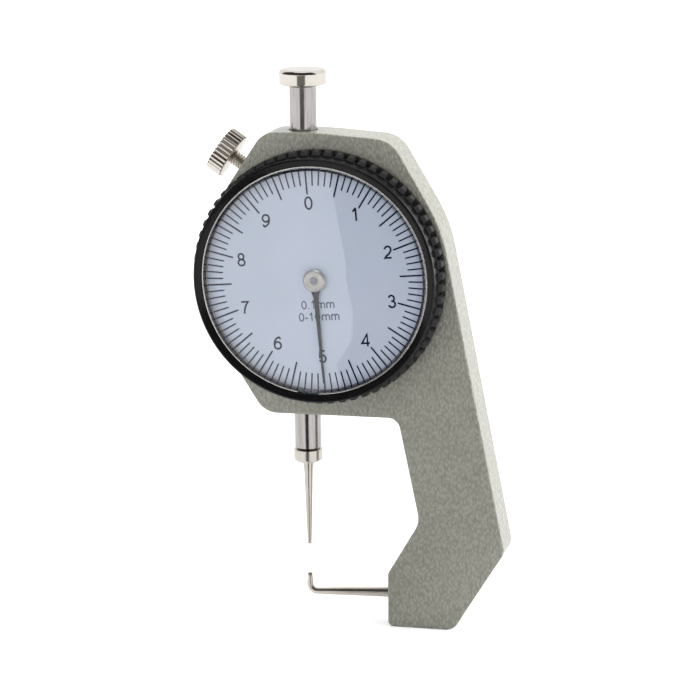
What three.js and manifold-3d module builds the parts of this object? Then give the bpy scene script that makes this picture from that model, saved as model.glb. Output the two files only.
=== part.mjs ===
import * as THREE from "three";
import { mergeVertices } from "three/addons/utils/BufferGeometryUtils.js";
import Module from "manifold-3d";

const wasm = await Module();
wasm.setup();

// A pocket dial thickness gauge that reads 0 to 10 mm, in millimetres.
// +X is to the reader's right, the dial looks along -Y and +Z is up along the spindle.
// The origin is on the dial's axis, at the outer face of the back cover.

// Reading
const travel = 10;
const reading = 5;
const tipClearance = 0.02;
const dialTurnDegrees = 4.5;

// Fits and fineness
const seatGap = 0.05;
const runningGap = 0.08;
const looseGap = 0.3;
const overrun = 1;
const slotWidth = 0.3;
const slotDepth = 0.3;
const chordError = 0.04;
const coarsestChordShare = 0.5;
const fewestSides = 12;
const weldDistance = 1e-4;

// Frame outline, seen from the front
const topSlantDegrees = 34;
const undersideSlantDegrees = 32;
const topRim = 2.55;
const crestX = 0.5;
const crestFillet = 50;
const topLeftFillet = 1.8;
const topRightX = 11.7;
const topRightFall = 0.9;
const topRightFillet = 1.2;
const shoulderInset = 0.7;
const shoulderRise = 8.4;
const shoulderFillet = 28;
const heelReach = 8.6;
const heelRise = 13.7;
const heelFillet = 1;
const footWidth = 11;
const footDrop = 59;
const footFillet = 2.4;
const jawX = 10.7;
const jawHeight = 9.1;
const jawFillet = 1.4;
const jawTopFillet = 1;
const throatInset = 5.4;
const throatRise = 9.1;
const throatFillet = 2;
const armpitX = 12.6;
const armpitFillet = 2;
const undersideRim = 2.55;
const undersideFillet = 4;

// Frame section, from the back cover to the front
const coverProud = 0.8;
const frontWall = 1.25;
const backWall = 1.05;
const frameEdgeRound = 0.6;
const chamberRadius = 12;
const collarWall = 1.6;
const collarHeight = 2.1;
const snapGrooveDepth = 0.5;
const snapGrooveStart = 1;
const snapGrooveWidth = 0.6;

// Spindle and its bushes
const spindleRadius = 2.2;
const spindleChamfer = 0.3;
const capClearance = 2.35;
const collarClearance = 1.25;
const bushWall = 0.47;
const bushNose = 3.4;
const bushLip = 0.8;
const lipGap = 0.35;
const capRadius = 3.85;
const capHeight = 2.6;
const capRound = 0.45;
const capStudRadius = 1.2;
const capStudLength = 4;

// Contact point and anvil
const pointCollarRim = 0.2;
const pointCollarLength = 2.05;
const pointCollarChamfer = 0.35;
const pointStudRadius = 1.25;
const pointStudLength = 4.5;
const needleRootRadius = 0.72;
const needleTipRadius = 0.25;
const anvilRise = 4.6;
const anvilDroop = 0.52;
const anvilSeatLength = 5;
const anvilRootRadius = 0.8;
const anvilNeckRadius = 0.43;
const anvilTipRadius = 0.27;
const anvilBendRadius = 1.2;
const anvilTipHeight = 3.28;
const setScrewRadius = 0.95;
const setScrewInset = 2.6;
const setScrewSlotDepth = 0.6;

// Rack, pinion and pointer shaft
const pinionTeeth = 16;
const spareRackTeeth = 4;
const pressureDegrees = 20;
const addendum = 0.16;
const dedendum = 0.25;
const backlash = 0.05;
const rackFlat = 0.1;
const pinionWidth = 2.4;
const arborRadius = 0.5;
const frontBearingWall = 1.22;
const frontBearingRim = 0.7;
const frontBearingFlangeThick = 0.5;

// Rear bridge and hairspring
const bridgeThick = 0.8;
const bridgeGap = 0.4;
const bridgeNoseWall = 0.7;
const bridgeEndGap = 2;
const bridgeTailHalf = 3.8;
const bridgeFillet = 1.3;
const ledgeReach = 5;
const rearBearingWall = 0.42;
const bridgeScrewEdge = 1.7;
const bridgeScrewRadius = 0.7;
const bridgeScrewLength = 3;
const bridgeScrewHead = 1.25;
const bridgeScrewHeadHeight = 0.7;
const hairspringTurns = 4;
const hairspringEnd = 3.5;
const hairspringThick = 0.14;
const hairspringHeight = 0.4;
const hairspringLift = 0.25;
const colletWall = 0.35;
const colletEnd = 0.12;
const studRadius = 0.4;

// Return spring, guide pin and their pins
const springGap = 0.43;
const springPinRadius = 0.6;
const springPinHead = 0.9;
const springPinHeadThick = 0.35;
const springPostSeat = 0.9;
const springCurls = 10;
const springCoilRadius = 0.8;
const springWireRadius = 0.14;
const springWireSides = 5;
const springLead = 0.45;
const springHookTurns = 0.75;
const guidePinRadius = 0.6;
const guidePinDrop = 2;
const guidePinSeat = 1.4;
const guideGrooveDepth = 0.9;
const guideGrooveGap = 0.12;

// Back cover
const coverRim = 3.6;
const coverSeat = 0.4;
const coverChamfer = 0.3;
const coverHollowInset = 0.6;
const coverHollowDepth = 0.5;
const coverScrews = 4;
const coverScrewHead = 1.35;
const coverScrewRadius = 0.7;
const coverScrewLength = 4;
const coverScrewSink = 0.1;
const coverScrewRim = 0.1;
const coverScrewCone = 0.65;

// Bezel and what it holds, by their height in front of the frame
const bezelRadius = 20;
const bezelWall = 1;
const skirtWall = 1.6;
const bezelLift = 0.3;
const flangeWidth = 0.8;
const flangeTop = 2.8;
const flangeNotches = 66;
const notchRadius = 0.5;
const notchDepth = 0.75;
const bezelEdgeRound = 0.2;
const bezelConeDepth = 0.7;
const ledgeThick = 0.6;
const ledgeWidth = 1.4;
const collarGap = 0.2;
const snapRingWidth = 0.8;
const snapRingThick = 0.45;
const snapRingOpenDegrees = 24;
const dialThick = 0.4;
const dialHoleGap = 0.5;
const crystalFoot = 0.8;
const crystalFootWidth = 1;
const crystalBevel = 0.7;
const crystalHeadroom = 0.13;
const crystalDome = 0.15;
const crystalThick = 0.6;
const ringWidth = 0.5;
const ringThick = 0.35;
const ringOpenDegrees = 11;
const ringOpenTurnDegrees = 3.7;

// Pointer, by its height over the dial
const pointerLift = 0.4;
const pointerThick = 0.15;
const pointerTipGap = 2;
const pointerHubRadius = 1.55;
const pointerNeckHalf = 0.8;
const pointerRootHalf = 0.4;
const pointerTipHalf = 0.14;
const pointerFlare = 3.2;
const bossRadius = 1.85;
const bossThick = 0.3;
const bossSpigotRadius = 0.8;
const bossSpigotGap = 0.1;
const rivetRadius = 0.62;
const rivetFaceRadius = 0.5;
const rivetHeight = 0.12;

// Spindle lock
const lockMeetInset = 2;
const lockScrewRadius = 1.25;
const lockHeadStand = 2.35;
const lockHeadRadius = 3.9;
const lockHeadThick = 2.75;
const lockHeadRound = 0.2;
const lockKnurls = 32;
const lockKnurlDepth = 0.2;
const lockPadRadius = 1;
const lockPadEnd = 4.7;
const lockPadGap = 0.12;

// Places that follow from the sizes above
const turn = 2 * Math.PI;
const degrees = turn / 360;
const bezelBore = bezelRadius - bezelWall;
const flangeRadius = bezelRadius + flangeWidth;
const collarRadius = bezelRadius - skirtWall - collarGap;
const headRadius = flangeRadius;
const frameTop = headRadius + topRim;
const undersideDrop = headRadius + undersideRim;
const shoulderX = headRadius - shoulderInset;
const footX = jawX + footWidth;
const heelX = footX + heelReach;
const heelDrop = footDrop - heelRise;
const jawTopDrop = footDrop - jawHeight;
const throatX = jawX + throatInset;
const throatDrop = jawTopDrop - throatRise;
const bushRadius = spindleRadius + runningGap + bushWall;
const bushReach = chamberRadius - bushNose;
const frameThick = frontWall + 2 * bushRadius + backWall;
const frameBack = -coverProud;
const frameFront = frameBack - frameThick;
const pitchRadius = travel / turn;
const toothPitch = travel / pinionTeeth;
const toothThick = toothPitch / 2 - backlash;
const rackTeeth = 2 * (Math.ceil(Math.max(reading, travel - reading) / toothPitch) + spareRackTeeth);
const rackTip = pitchRadius - addendum;
const spindleX = rackFlat - rackTip - spindleRadius;
const spindleY = frameFront + frontWall + bushRadius;
const spindleTop = frameTop + capClearance + reading;
const spindleBottom = -(undersideDrop + collarClearance + travel - reading);
const webInner = spindleY - spindleRadius - looseGap;
const anvilRootZ = anvilRise - footDrop;
const anvilTipZ = anvilRootZ - anvilDroop + anvilTipHeight;
const pointTipZ = anvilTipZ + reading + tipClearance;
const setScrewX = jawX + setScrewInset;
const setScrewTop = anvilRootZ - anvilRootRadius - seatGap;
const coverRadius = chamberRadius + coverRim;
const coverThick = coverProud + coverSeat;
const coverInner = -coverThick;
const coverScrewCircle = (chamberRadius + coverRadius) / 2;
const pinionFront = spindleY - pinionWidth / 2;
const pinionBack = spindleY + pinionWidth / 2;
const bearingBore = arborRadius + runningGap;
const frontBearingRadius = bearingBore + frontBearingWall;
const rearBearingRadius = bearingBore + rearBearingWall;
const bridgeFront = pinionBack + bridgeGap;
const bridgeBack = bridgeFront + bridgeThick;
const bridgeTail = chamberRadius - bridgeEndGap;
const bridgeLedgeX = chamberRadius - ledgeReach;
const bridgeScrewX = (bridgeLedgeX + bridgeTail) / 2;
const bridgeScrewOffset = bridgeTailHalf - bridgeScrewEdge;
const colletRadius = arborRadius + seatGap + colletWall;
const hairspringStart = colletRadius + seatGap + hairspringThick / 2;
const hairspringFront = bridgeBack + hairspringLift;
const hairspringBack = hairspringFront + hairspringHeight;
const studX = hairspringEnd + hairspringThick / 2 + seatGap + studRadius;
const arborBack = hairspringBack + colletEnd + seatGap;
const springX = spindleX - spindleRadius - springGap - springCoilRadius - springWireRadius;
const springPinRise = bushReach - (travel - reading) - springPinHead - looseGap;
const springPostDrop = bushReach - springPinHead - looseGap;
const ledgeBottom = collarHeight + looseGap;
const ledgeTop = ledgeBottom + ledgeThick;
const dialBack = ledgeTop + seatGap;
const dialFace = dialBack + dialThick;
const crystalBase = dialFace + seatGap;
const ringBase = crystalBase + crystalFoot + seatGap;
const bezelTop = ringBase + ringThick + seatGap + bezelConeDepth;
const pointerLength = bezelBore - pointerTipGap;
const pointerBack = dialFace + pointerLift;
const pointerFront = pointerBack + pointerThick;
const bossBack = pointerFront + seatGap;
const bossFront = bossBack + bossThick;
const rivetBack = bossFront + seatGap;
const crystalInner = rivetBack + rivetHeight + crystalHeadroom;
const crystalTop = crystalInner + crystalThick - crystalDome;
const lockDirection = new THREE.Vector3(
  -Math.cos(topSlantDegrees * degrees), 0, Math.sin(topSlantDegrees * degrees));
const lockOrigin = new THREE.Vector3(spindleX, spindleY, bushReach + lockMeetInset);
const lockFace = headRadius - lockOrigin.clone().setY(0).dot(lockDirection);

// A point in front of the frame, given by its height over the front face
const ahead = (height) => frameFront - height;

// The number of straight steps that keep an arc within the chord error
function arcSteps(radius, angle = turn) {
  const step = 2 * Math.acos(1 - Math.min(chordError / radius, coarsestChordShare));
  return Math.max(Math.ceil(Math.abs(angle) / step), angle === turn ? fewestSides : 2);
}

// The corners of a circle in a plane
function circle(radius, sides = arcSteps(radius)) {
  return Array.from({ length: sides }, (_, i) => new THREE.Vector2(
    radius * Math.cos(turn * i / sides), radius * Math.sin(turn * i / sides)));
}

function signedVolume(geometry) {
  const { array } = geometry.attributes.position;
  const corner = (i) => new THREE.Vector3().fromArray(array, geometry.index.array[i] * 3);
  let sum = 0;
  for (let i = 0; i < geometry.index.count; i += 3) {
    sum += corner(i).dot(corner(i + 1).cross(corner(i + 2)));
  }
  return sum / 6;
}

// One closed body with shared corners, no empty faces and its faces looking out
function closed(geometry) {
  geometry.deleteAttribute("normal");
  geometry.deleteAttribute("uv");
  const merged = mergeVertices(geometry, weldDistance);
  const source = merged.index.array;
  const faces = [];
  for (let i = 0; i < source.length; i += 3) {
    const [a, b, c] = source.slice(i, i + 3);
    if (a !== b && b !== c && c !== a) {
      faces.push(a, b, c);
    }
  }
  merged.setIndex(faces);
  merged.clearGroups();
  if (signedVolume(merged) < 0) {
    merged.setIndex(faces.reverse());
  }
  return merged;
}

function toSolid(geometry) {
  return new wasm.Manifold(new wasm.Mesh({
    numProp: 3,
    vertProperties: new Float32Array(geometry.attributes.position.array),
    triVerts: new Uint32Array(geometry.index.array),
  }));
}

function toGeometry(solid) {
  const { vertProperties, triVerts } = solid.getMesh();
  const geometry = new THREE.BufferGeometry();
  geometry.setAttribute("position", new THREE.BufferAttribute(vertProperties, 3));
  geometry.setIndex(new THREE.BufferAttribute(triVerts, 1));
  return geometry;
}

function cut(geometry, ...cutters) {
  const solid = cutters.reduce((rest, cutter) => rest.subtract(toSolid(cutter)), toSolid(geometry));
  return toGeometry(solid);
}

function join(geometry, ...others) {
  return toGeometry(others.reduce((sum, other) => sum.add(toSolid(other)), toSolid(geometry)));
}

// A body turned about the Y axis from a profile of [radius, y] points
function turned(profile, steps = arcSteps(Math.max(...profile.map(([radius]) => radius)))) {
  const points = profile.map(([radius, y]) => new THREE.Vector2(radius, y));
  return closed(new THREE.LatheGeometry(points, steps));
}

// A turned ring, whose profile closes on itself
function turnedRing(profile, steps) {
  return turned([...profile, profile[0]], steps);
}

// The same body turned about the Z axis, where its profile gives [radius, z]
function upright(geometry) {
  return geometry.rotateX(turn / 4);
}

// A cylinder along Y
function drum(radius, from, to, steps = arcSteps(radius)) {
  const length = Math.abs(to - from);
  return closed(new THREE.CylinderGeometry(radius, radius, length, steps)
    .translate(0, (from + to) / 2, 0));
}

// A round rod between two points, which may taper
function rod(from, to, startRadius, endRadius = startRadius) {
  const along = to.clone().sub(from);
  const middle = from.clone().add(to).multiplyScalar(0.5);
  const steps = arcSteps(Math.max(startRadius, endRadius));
  const lean = new THREE.Quaternion().setFromUnitVectors(
    new THREE.Vector3(0, 1, 0), along.clone().normalize());
  return closed(new THREE.CylinderGeometry(endRadius, startRadius, along.length(), steps)
    .applyQuaternion(lean)
    .translate(middle.x, middle.y, middle.z));
}

// A cylinder along Z at a place in the frame
function column(x, y, radius, low, high) {
  return rod(new THREE.Vector3(x, y, low), new THREE.Vector3(x, y, high), radius);
}

function box(low, high) {
  const size = high.clone().sub(low);
  const middle = high.clone().add(low).multiplyScalar(0.5);
  return closed(new THREE.BoxGeometry(size.x, size.y, size.z)
    .translate(middle.x, middle.y, middle.z));
}

// A flat piece cut to an outline in X and Z, between two places along Y
function plate(shape, from, to) {
  return closed(new THREE.ExtrudeGeometry(shape, { depth: to - from, bevelEnabled: false })
    .rotateX(turn / 4)
    .translate(0, to, 0));
}

// An outline through corners of [x, z, radius], each rounded by an arc where there is room
function roundedOutline(corners) {
  const place = (i) => {
    const [x, z] = corners[(i + corners.length) % corners.length];
    return new THREE.Vector2(x, z);
  };
  const turns = corners.map(([, , radius], i) => {
    const toBack = place(i - 1).sub(place(i));
    const toNext = place(i + 1).sub(place(i));
    const half = toBack.angleTo(toNext) / 2;
    return { radius, half, toBack, toNext, reach: radius / Math.tan(half) };
  });
  const roomShare = ({ reach, toBack, toNext }, i) => {
    const before = turns.at(i - 1).reach + reach;
    const after = turns[(i + 1) % turns.length].reach + reach;
    return Math.min(1, toBack.length() / before, toNext.length() / after);
  };
  const points = turns.flatMap((corner, i) => {
    const share = roomShare(corner, i);
    const radius = corner.radius * share;
    const toBack = corner.toBack.clone().normalize();
    const toNext = corner.toNext.clone().normalize();
    const start = place(i).addScaledVector(toBack, corner.reach * share);
    const end = place(i).addScaledVector(toNext, corner.reach * share);
    const inward = toBack.add(toNext).normalize();
    const centre = place(i).addScaledVector(inward, radius / Math.sin(corner.half));
    const from = start.sub(centre);
    const to = end.sub(centre);
    const sweep = Math.atan2(from.cross(to), from.dot(to));
    const steps = arcSteps(radius, sweep);
    return Array.from({ length: steps + 1 }, (_, k) => (
      from.clone().rotateAround(new THREE.Vector2(), sweep * k / steps).add(centre)));
  });
  return new THREE.Shape(points);
}

// A wire of round section along points
function wire(points, radius, sides) {
  return closed(new THREE.ExtrudeGeometry(new THREE.Shape(circle(radius, sides)), {
    steps: points.length - 1,
    extrudePath: new THREE.CatmullRomCurve3(points),
  }));
}

// Part of a flat ring between two radii, open at the bottom, as a C-shaped outline
function openRing(inner, outer, openAngle, middleAngle) {
  const from = middleAngle + openAngle / 2;
  const to = middleAngle - openAngle / 2 + turn;
  const steps = arcSteps(outer, turn);
  const arc = (radius, start, end) => Array.from({ length: steps + 1 }, (_, i) => {
    const angle = start + (end - start) * i / steps;
    return new THREE.Vector2(radius * Math.cos(angle), radius * Math.sin(angle));
  });
  return new THREE.Shape([...arc(outer, from, to), ...arc(inner, to, from)]);
}

// The corners of the frame, from the top left and clockwise
function frameCorners() {
  const slantMeets = (z, angle) => (z * Math.sin(angle) - headRadius) / Math.cos(angle);
  const topSlant = topSlantDegrees * degrees;
  const lowSlant = undersideSlantDegrees * degrees;
  const middle = (topSlant - lowSlant) / 2;
  const reach = headRadius / Math.cos((topSlant + lowSlant) / 2);
  return [
    [slantMeets(frameTop, topSlant), frameTop, topLeftFillet],
    [crestX, frameTop, crestFillet],
    [topRightX, frameTop - topRightFall, topRightFillet],
    [shoulderX, shoulderRise, shoulderFillet],
    [heelX, -heelDrop, heelFillet],
    [footX, -footDrop, footFillet],
    [jawX, -footDrop, jawFillet],
    [jawX, -jawTopDrop, jawTopFillet],
    [throatX, -throatDrop, throatFillet],
    [armpitX, -undersideDrop, armpitFillet],
    [slantMeets(undersideDrop, lowSlant), -undersideDrop, undersideFillet],
    [-reach * Math.cos(middle), reach * Math.sin(middle), headRadius],
  ];
}

// The cast body without its holes, with rounded edges
function casting() {
  return closed(new THREE.ExtrudeGeometry(roundedOutline(frameCorners()), {
    depth: frameThick - 2 * frameEdgeRound,
    bevelThickness: frameEdgeRound,
    bevelSize: frameEdgeRound,
    bevelOffset: -frameEdgeRound,
    bevelSegments: 1,
  }).rotateX(turn / 4).translate(0, frameBack - frameEdgeRound, 0));
}

// The ring in front of the casting that the bezel turns on, with a groove for its snap ring
function bezelSeat() {
  const groove = collarRadius - snapGrooveDepth;
  const bore = collarRadius - collarWall;
  const root = (frameFront + webInner) / 2;
  return turnedRing([
    [bore, root],
    [bore, ahead(collarHeight)],
    [collarRadius, ahead(collarHeight)],
    [collarRadius, ahead(snapGrooveStart + snapGrooveWidth)],
    [groove, ahead(snapGrooveStart + snapGrooveWidth)],
    [groove, ahead(snapGrooveStart)],
    [collarRadius, ahead(snapGrooveStart)],
    [collarRadius, root],
  ]);
}

// The ledge inside the chamber that carries the rear bridge, rooted in the web and the wall
function bridgeLedge() {
  return box(
    new THREE.Vector3(bridgeLedgeX, (frameFront + webInner) / 2, -bridgeTailHalf),
    new THREE.Vector3(chamberRadius + looseGap, bridgeFront, bridgeTailHalf));
}

// A copy along the lock screw's axis of a body modelled along Y from the spindle's axis
function alongLock(geometry) {
  const lean = new THREE.Quaternion().setFromUnitVectors(new THREE.Vector3(0, 1, 0), lockDirection);
  return geometry.applyQuaternion(lean).translate(lockOrigin.x, lockOrigin.y, lockOrigin.z);
}

function lockHoles() {
  const padHole = drum(lockPadRadius + runningGap, 0, lockPadEnd + overrun);
  const screwHole = drum(lockScrewRadius + runningGap, lockPadEnd - runningGap, lockFace + overrun);
  return [alongLock(padHole), alongLock(screwHole)];
}

// The stepped bores for the spindle and its two bushes
function spindleBores() {
  const lip = spindleRadius + lipGap;
  const bore = (from, to, radius) => column(spindleX, spindleY, radius, from, to);
  const seat = bushRadius + seatGap;
  return [
    bore(0, frameTop - bushLip + seatGap, seat),
    bore(0, frameTop + overrun, lip),
    bore(-undersideDrop + bushLip - seatGap, 0, seat),
    bore(-undersideDrop - overrun, 0, lip),
  ];
}

// The places of the cover screws round the dial's axis
function coverScrewPlaces() {
  return Array.from({ length: coverScrews }, (_, i) => {
    const angle = turn * (i + 0.5) / coverScrews;
    return [coverScrewCircle * Math.cos(angle), coverScrewCircle * Math.sin(angle)];
  });
}

function anvilAxis() {
  const root = new THREE.Vector3(jawX, spindleY, anvilRootZ);
  const bend = new THREE.Vector3(spindleX + anvilBendRadius, spindleY, anvilRootZ - anvilDroop);
  const direction = root.clone().sub(bend).normalize();
  const end = root.clone().addScaledVector(direction, anvilSeatLength);
  return { root, bend, direction, end };
}

// The holes that the small pins and screws sit in
function smallHoles() {
  const { root, direction, end } = anvilAxis();
  const mouth = root.clone().addScaledVector(direction, -overrun);
  const bottom = end.clone().addScaledVector(direction, seatGap);
  const screwHoles = coverScrewPlaces().map(([x, z]) => (
    drum(coverScrewRadius + seatGap, -coverScrewLength - looseGap, overrun).translate(x, 0, z)));
  const bridgeHoles = [-bridgeScrewOffset, bridgeScrewOffset].map((z) => drum(
    bridgeScrewRadius + seatGap, bridgeBack - bridgeScrewLength - looseGap, bridgeBack + overrun,
  ).translate(bridgeScrewX, 0, z));
  return [
    drum(frontBearingRadius + seatGap, frameFront - overrun, webInner + overrun),
    drum(springPinRadius + seatGap, webInner - springPostSeat - seatGap, webInner + overrun)
      .translate(springX, 0, -springPostDrop),
    rod(mouth, bottom, anvilRootRadius + seatGap),
    column(setScrewX, spindleY, setScrewRadius + seatGap, -footDrop - overrun, anvilRootZ),
    ...screwHoles,
    ...bridgeHoles,
  ];
}

// The groove in the web that keeps the spindle from turning
function guideGroove() {
  const half = guidePinRadius + guideGrooveGap;
  const low = -guidePinDrop - reading - half;
  const high = -guidePinDrop + travel - reading + half;
  return box(
    new THREE.Vector3(spindleX - half, webInner - guideGrooveDepth, low),
    new THREE.Vector3(spindleX + half, webInner + overrun, high));
}

function frameBody() {
  const shell = cut(
    join(casting(), bezelSeat()),
    drum(chamberRadius, webInner, overrun),
    drum(coverRadius + seatGap, coverInner - seatGap, overrun));
  return cut(
    join(shell, bridgeLedge()),
    ...spindleBores(), ...lockHoles(), ...smallHoles(), guideGroove());
}

// A sleeve along the spindle between two heights
function spindleSleeve(low, high) {
  const ring = upright(turnedRing([
    [spindleRadius + runningGap, low], [bushRadius, low],
    [bushRadius, high], [spindleRadius + runningGap, high],
  ]));
  return ring.translate(spindleX, spindleY, 0);
}

function upperBush() {
  return cut(spindleSleeve(bushReach, frameTop - bushLip), lockHoles()[0]);
}

function lowerBush() {
  return spindleSleeve(-undersideDrop + bushLip, -bushReach);
}

// The comb that cuts the rack, whose teeth look to +X
function rackComb() {
  const slope = Math.tan(pressureDegrees * degrees);
  const tip = -rackTip;
  const root = -pitchRadius - dedendum;
  const open = tip + spindleRadius;
  const length = rackTeeth * toothPitch;
  const tipHalf = toothThick / 2 - addendum * slope;
  const rootHalf = toothThick / 2 + dedendum * slope;
  const teeth = Array.from({ length: rackTeeth }, (_, i) => {
    const z = (i + 0.5) * toothPitch - length / 2;
    return [[root, z - rootHalf], [tip, z - tipHalf], [tip, z + tipHalf], [root, z + rootHalf]];
  }).flat();
  const outline = [
    [open, -length / 2], [root, -length / 2], ...teeth, [root, length / 2], [open, length / 2],
  ];
  const shape = new THREE.Shape(outline.map(([x, z]) => new THREE.Vector2(x - spindleX, z)));
  return plate(shape, -spindleRadius - overrun, spindleRadius + overrun);
}

function spindleShaft() {
  const rim = spindleRadius - spindleChamfer;
  const lowerHole = pointStudRadius + seatGap;
  const upperHole = capStudRadius + seatGap;
  const shaft = upright(turned([
    [0, spindleBottom + pointStudLength + looseGap],
    [lowerHole, spindleBottom + pointStudLength + looseGap],
    [lowerHole, spindleBottom],
    [rim, spindleBottom],
    [spindleRadius, spindleBottom + spindleChamfer],
    [spindleRadius, spindleTop - spindleChamfer],
    [rim, spindleTop],
    [upperHole, spindleTop],
    [upperHole, spindleTop - capStudLength - looseGap],
    [0, spindleTop - capStudLength - looseGap],
  ]));
  const guideHole = drum(guidePinRadius + seatGap, -spindleRadius - overrun,
    guidePinSeat - spindleRadius + seatGap).translate(0, 0, -guidePinDrop);
  const pinHole = rod(
    new THREE.Vector3(-spindleRadius - overrun, 0, springPinRise),
    new THREE.Vector3(seatGap, 0, springPinRise), springPinRadius + seatGap);
  return cut(shaft, rackComb(), guideHole, pinHole);
}

function plungerCap() {
  const top = spindleTop + capHeight;
  return upright(turned([
    [0, spindleTop - capStudLength],
    [capStudRadius, spindleTop - capStudLength],
    [capStudRadius, spindleTop + seatGap],
    [capRadius - capRound / 2, spindleTop + seatGap],
    [capRadius, spindleTop + capRound / 2],
    [capRadius, top - capRound],
    [capRadius - capRound * (1 - Math.SQRT1_2), top - capRound * (1 - Math.SQRT1_2)],
    [capRadius - capRound, top],
    [0, top],
  ]));
}

function contactPoint() {
  const collarEnd = spindleBottom - pointCollarLength;
  const collar = spindleRadius + pointCollarRim;
  return upright(turned([
    [0, pointTipZ],
    [needleTipRadius, pointTipZ],
    [needleRootRadius, collarEnd],
    [collar - pointCollarChamfer, collarEnd],
    [collar, collarEnd + pointCollarChamfer],
    [collar, spindleBottom - seatGap],
    [pointStudRadius, spindleBottom - seatGap],
    [pointStudRadius, spindleBottom + pointStudLength],
    [0, spindleBottom + pointStudLength],
  ]));
}

// A pin with a head, modelled along Y from its seat at zero to its head
function headedPin(length) {
  const neck = length - springPinHeadThick;
  return turned([
    [0, 0], [springPinRadius, 0], [springPinRadius, neck],
    [springPinHead, neck], [springPinHead, length], [0, length],
  ]);
}

function springPin() {
  const end = spindleX - springX + springPinHead + springPinHeadThick;
  return headedPin(end)
    .rotateZ(turn / 4).translate(0, 0, springPinRise);
}

function springPost() {
  const length = spindleY - webInner + springPostSeat + springPinHead + springPinHeadThick;
  return headedPin(length)
    .translate(springX, webInner - springPostSeat, -springPostDrop);
}

function guidePin() {
  const end = webInner - guideGrooveDepth + looseGap - spindleY;
  return drum(guidePinRadius, end, guidePinSeat - spindleRadius).translate(0, 0, -guidePinDrop);
}

// The return spring at rest, from its lower hook round the post to its upper hook round the pin
function returnSpring() {
  const hook = springPinRadius + springWireRadius + runningGap;
  const low = -springPostDrop;
  const high = springPinRise;
  const coilLow = low + hook + springLead;
  const coilHigh = high - hook - springLead;
  const hookSteps = 8;
  const curlSteps = 8;
  const lowerHook = Array.from({ length: hookSteps }, (_, i) => {
    const angle = turn * (1 / 4 - springHookTurns * (1 - i / hookSteps));
    return new THREE.Vector3(hook * Math.cos(angle), 0, low + hook * Math.sin(angle));
  });
  const coil = Array.from({ length: springCurls * curlSteps + 1 }, (_, i) => {
    const angle = turn * i / curlSteps;
    const rise = (coilHigh - coilLow) * i / (springCurls * curlSteps);
    return new THREE.Vector3(
      springCoilRadius * Math.cos(angle), springCoilRadius * Math.sin(angle), coilLow + rise);
  });
  const upperHook = Array.from({ length: hookSteps }, (_, i) => {
    const angle = turn * springHookTurns * (i + 1) / hookSteps;
    return new THREE.Vector3(0, hook * Math.sin(angle), high - hook * Math.cos(angle));
  });
  const lowerTop = new THREE.Vector3(0, 0, low + hook);
  const upperBottom = new THREE.Vector3(0, 0, high - hook);
  const path = [...lowerHook, lowerTop, ...coil, upperBottom, ...upperHook];
  return wire(path, springWireRadius, springWireSides).translate(springX, spindleY, 0);
}

function anvil() {
  const { bend, end } = anvilAxis();
  const neck = new THREE.Vector3(spindleX + anvilBendRadius, spindleY, anvilRootZ - anvilDroop);
  const cornerSteps = 6;
  const corner = Array.from({ length: cornerSteps + 1 }, (_, i) => {
    const angle = turn * (-0.25 - 0.25 * i / cornerSteps);
    return new THREE.Vector3(
      neck.x + anvilBendRadius * Math.cos(angle), spindleY,
      neck.z + anvilBendRadius * (1 + Math.sin(angle)));
  });
  const foot = new THREE.Vector3(spindleX, spindleY, neck.z + anvilBendRadius - weldDistance);
  const tip = new THREE.Vector3(spindleX, spindleY, anvilTipZ);
  return join(
    rod(end, bend, anvilRootRadius, anvilNeckRadius),
    wire([neck.clone().setX(neck.x + seatGap), ...corner, foot.clone().setZ(foot.z + seatGap)],
      anvilNeckRadius, arcSteps(anvilNeckRadius)),
    rod(foot, tip, anvilNeckRadius, anvilTipRadius));
}

function anvilSetScrew() {
  const low = -footDrop + looseGap;
  const driverSlot = box(
    new THREE.Vector3(-setScrewRadius - overrun, -slotWidth / 2, low - overrun),
    new THREE.Vector3(setScrewRadius + overrun, slotWidth / 2, low + setScrewSlotDepth));
  return cut(column(0, 0, setScrewRadius, low, setScrewTop), driverSlot)
    .translate(setScrewX, spindleY, 0);
}

// The half angle of a pinion tooth at a radius, from the involute of its base circle
function toothHalfAngle(radius) {
  const pressure = pressureDegrees * degrees;
  const base = pitchRadius * Math.cos(pressure);
  const involute = (angle) => Math.tan(angle) - angle;
  const here = Math.acos(Math.min(1, base / radius));
  return toothThick / (2 * pitchRadius) + involute(pressure) - involute(here);
}

function pinionGear() {
  const root = pitchRadius - dedendum;
  const base = pitchRadius * Math.cos(pressureDegrees * degrees);
  const radii = [root, base, pitchRadius, pitchRadius + addendum];
  const points = Array.from({ length: pinionTeeth }, (_, i) => {
    const middle = turn * i / pinionTeeth;
    const rise = radii.map((radius) => [radius, middle - toothHalfAngle(radius)]);
    const fall = radii.map((radius) => [radius, middle + toothHalfAngle(radius)]).reverse();
    return [...rise, ...fall];
  }).flat();
  const shape = new THREE.Shape(points.map(([radius, angle]) => (
    new THREE.Vector2(radius * Math.cos(angle), radius * Math.sin(angle)))));
  shape.holes.push(new THREE.Path(circle(arborRadius + seatGap)));
  return plate(shape, pinionFront, pinionBack);
}

function pointerArbor() {
  return turned([
    [0, ahead(rivetBack + rivetHeight)],
    [rivetFaceRadius, ahead(rivetBack + rivetHeight)],
    [rivetRadius, ahead(rivetBack)],
    [arborRadius, ahead(rivetBack)],
    [arborRadius, arborBack],
    [0, arborBack],
  ]);
}

function frontBearing() {
  const flange = frontBearingRadius + frontBearingRim;
  const flangeBack = webInner + frontBearingFlangeThick;
  return turnedRing([
    [bearingBore, frameFront], [frontBearingRadius, frameFront],
    [frontBearingRadius, webInner + seatGap], [flange, webInner + seatGap],
    [flange, flangeBack], [bearingBore, flangeBack],
  ]);
}

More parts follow.
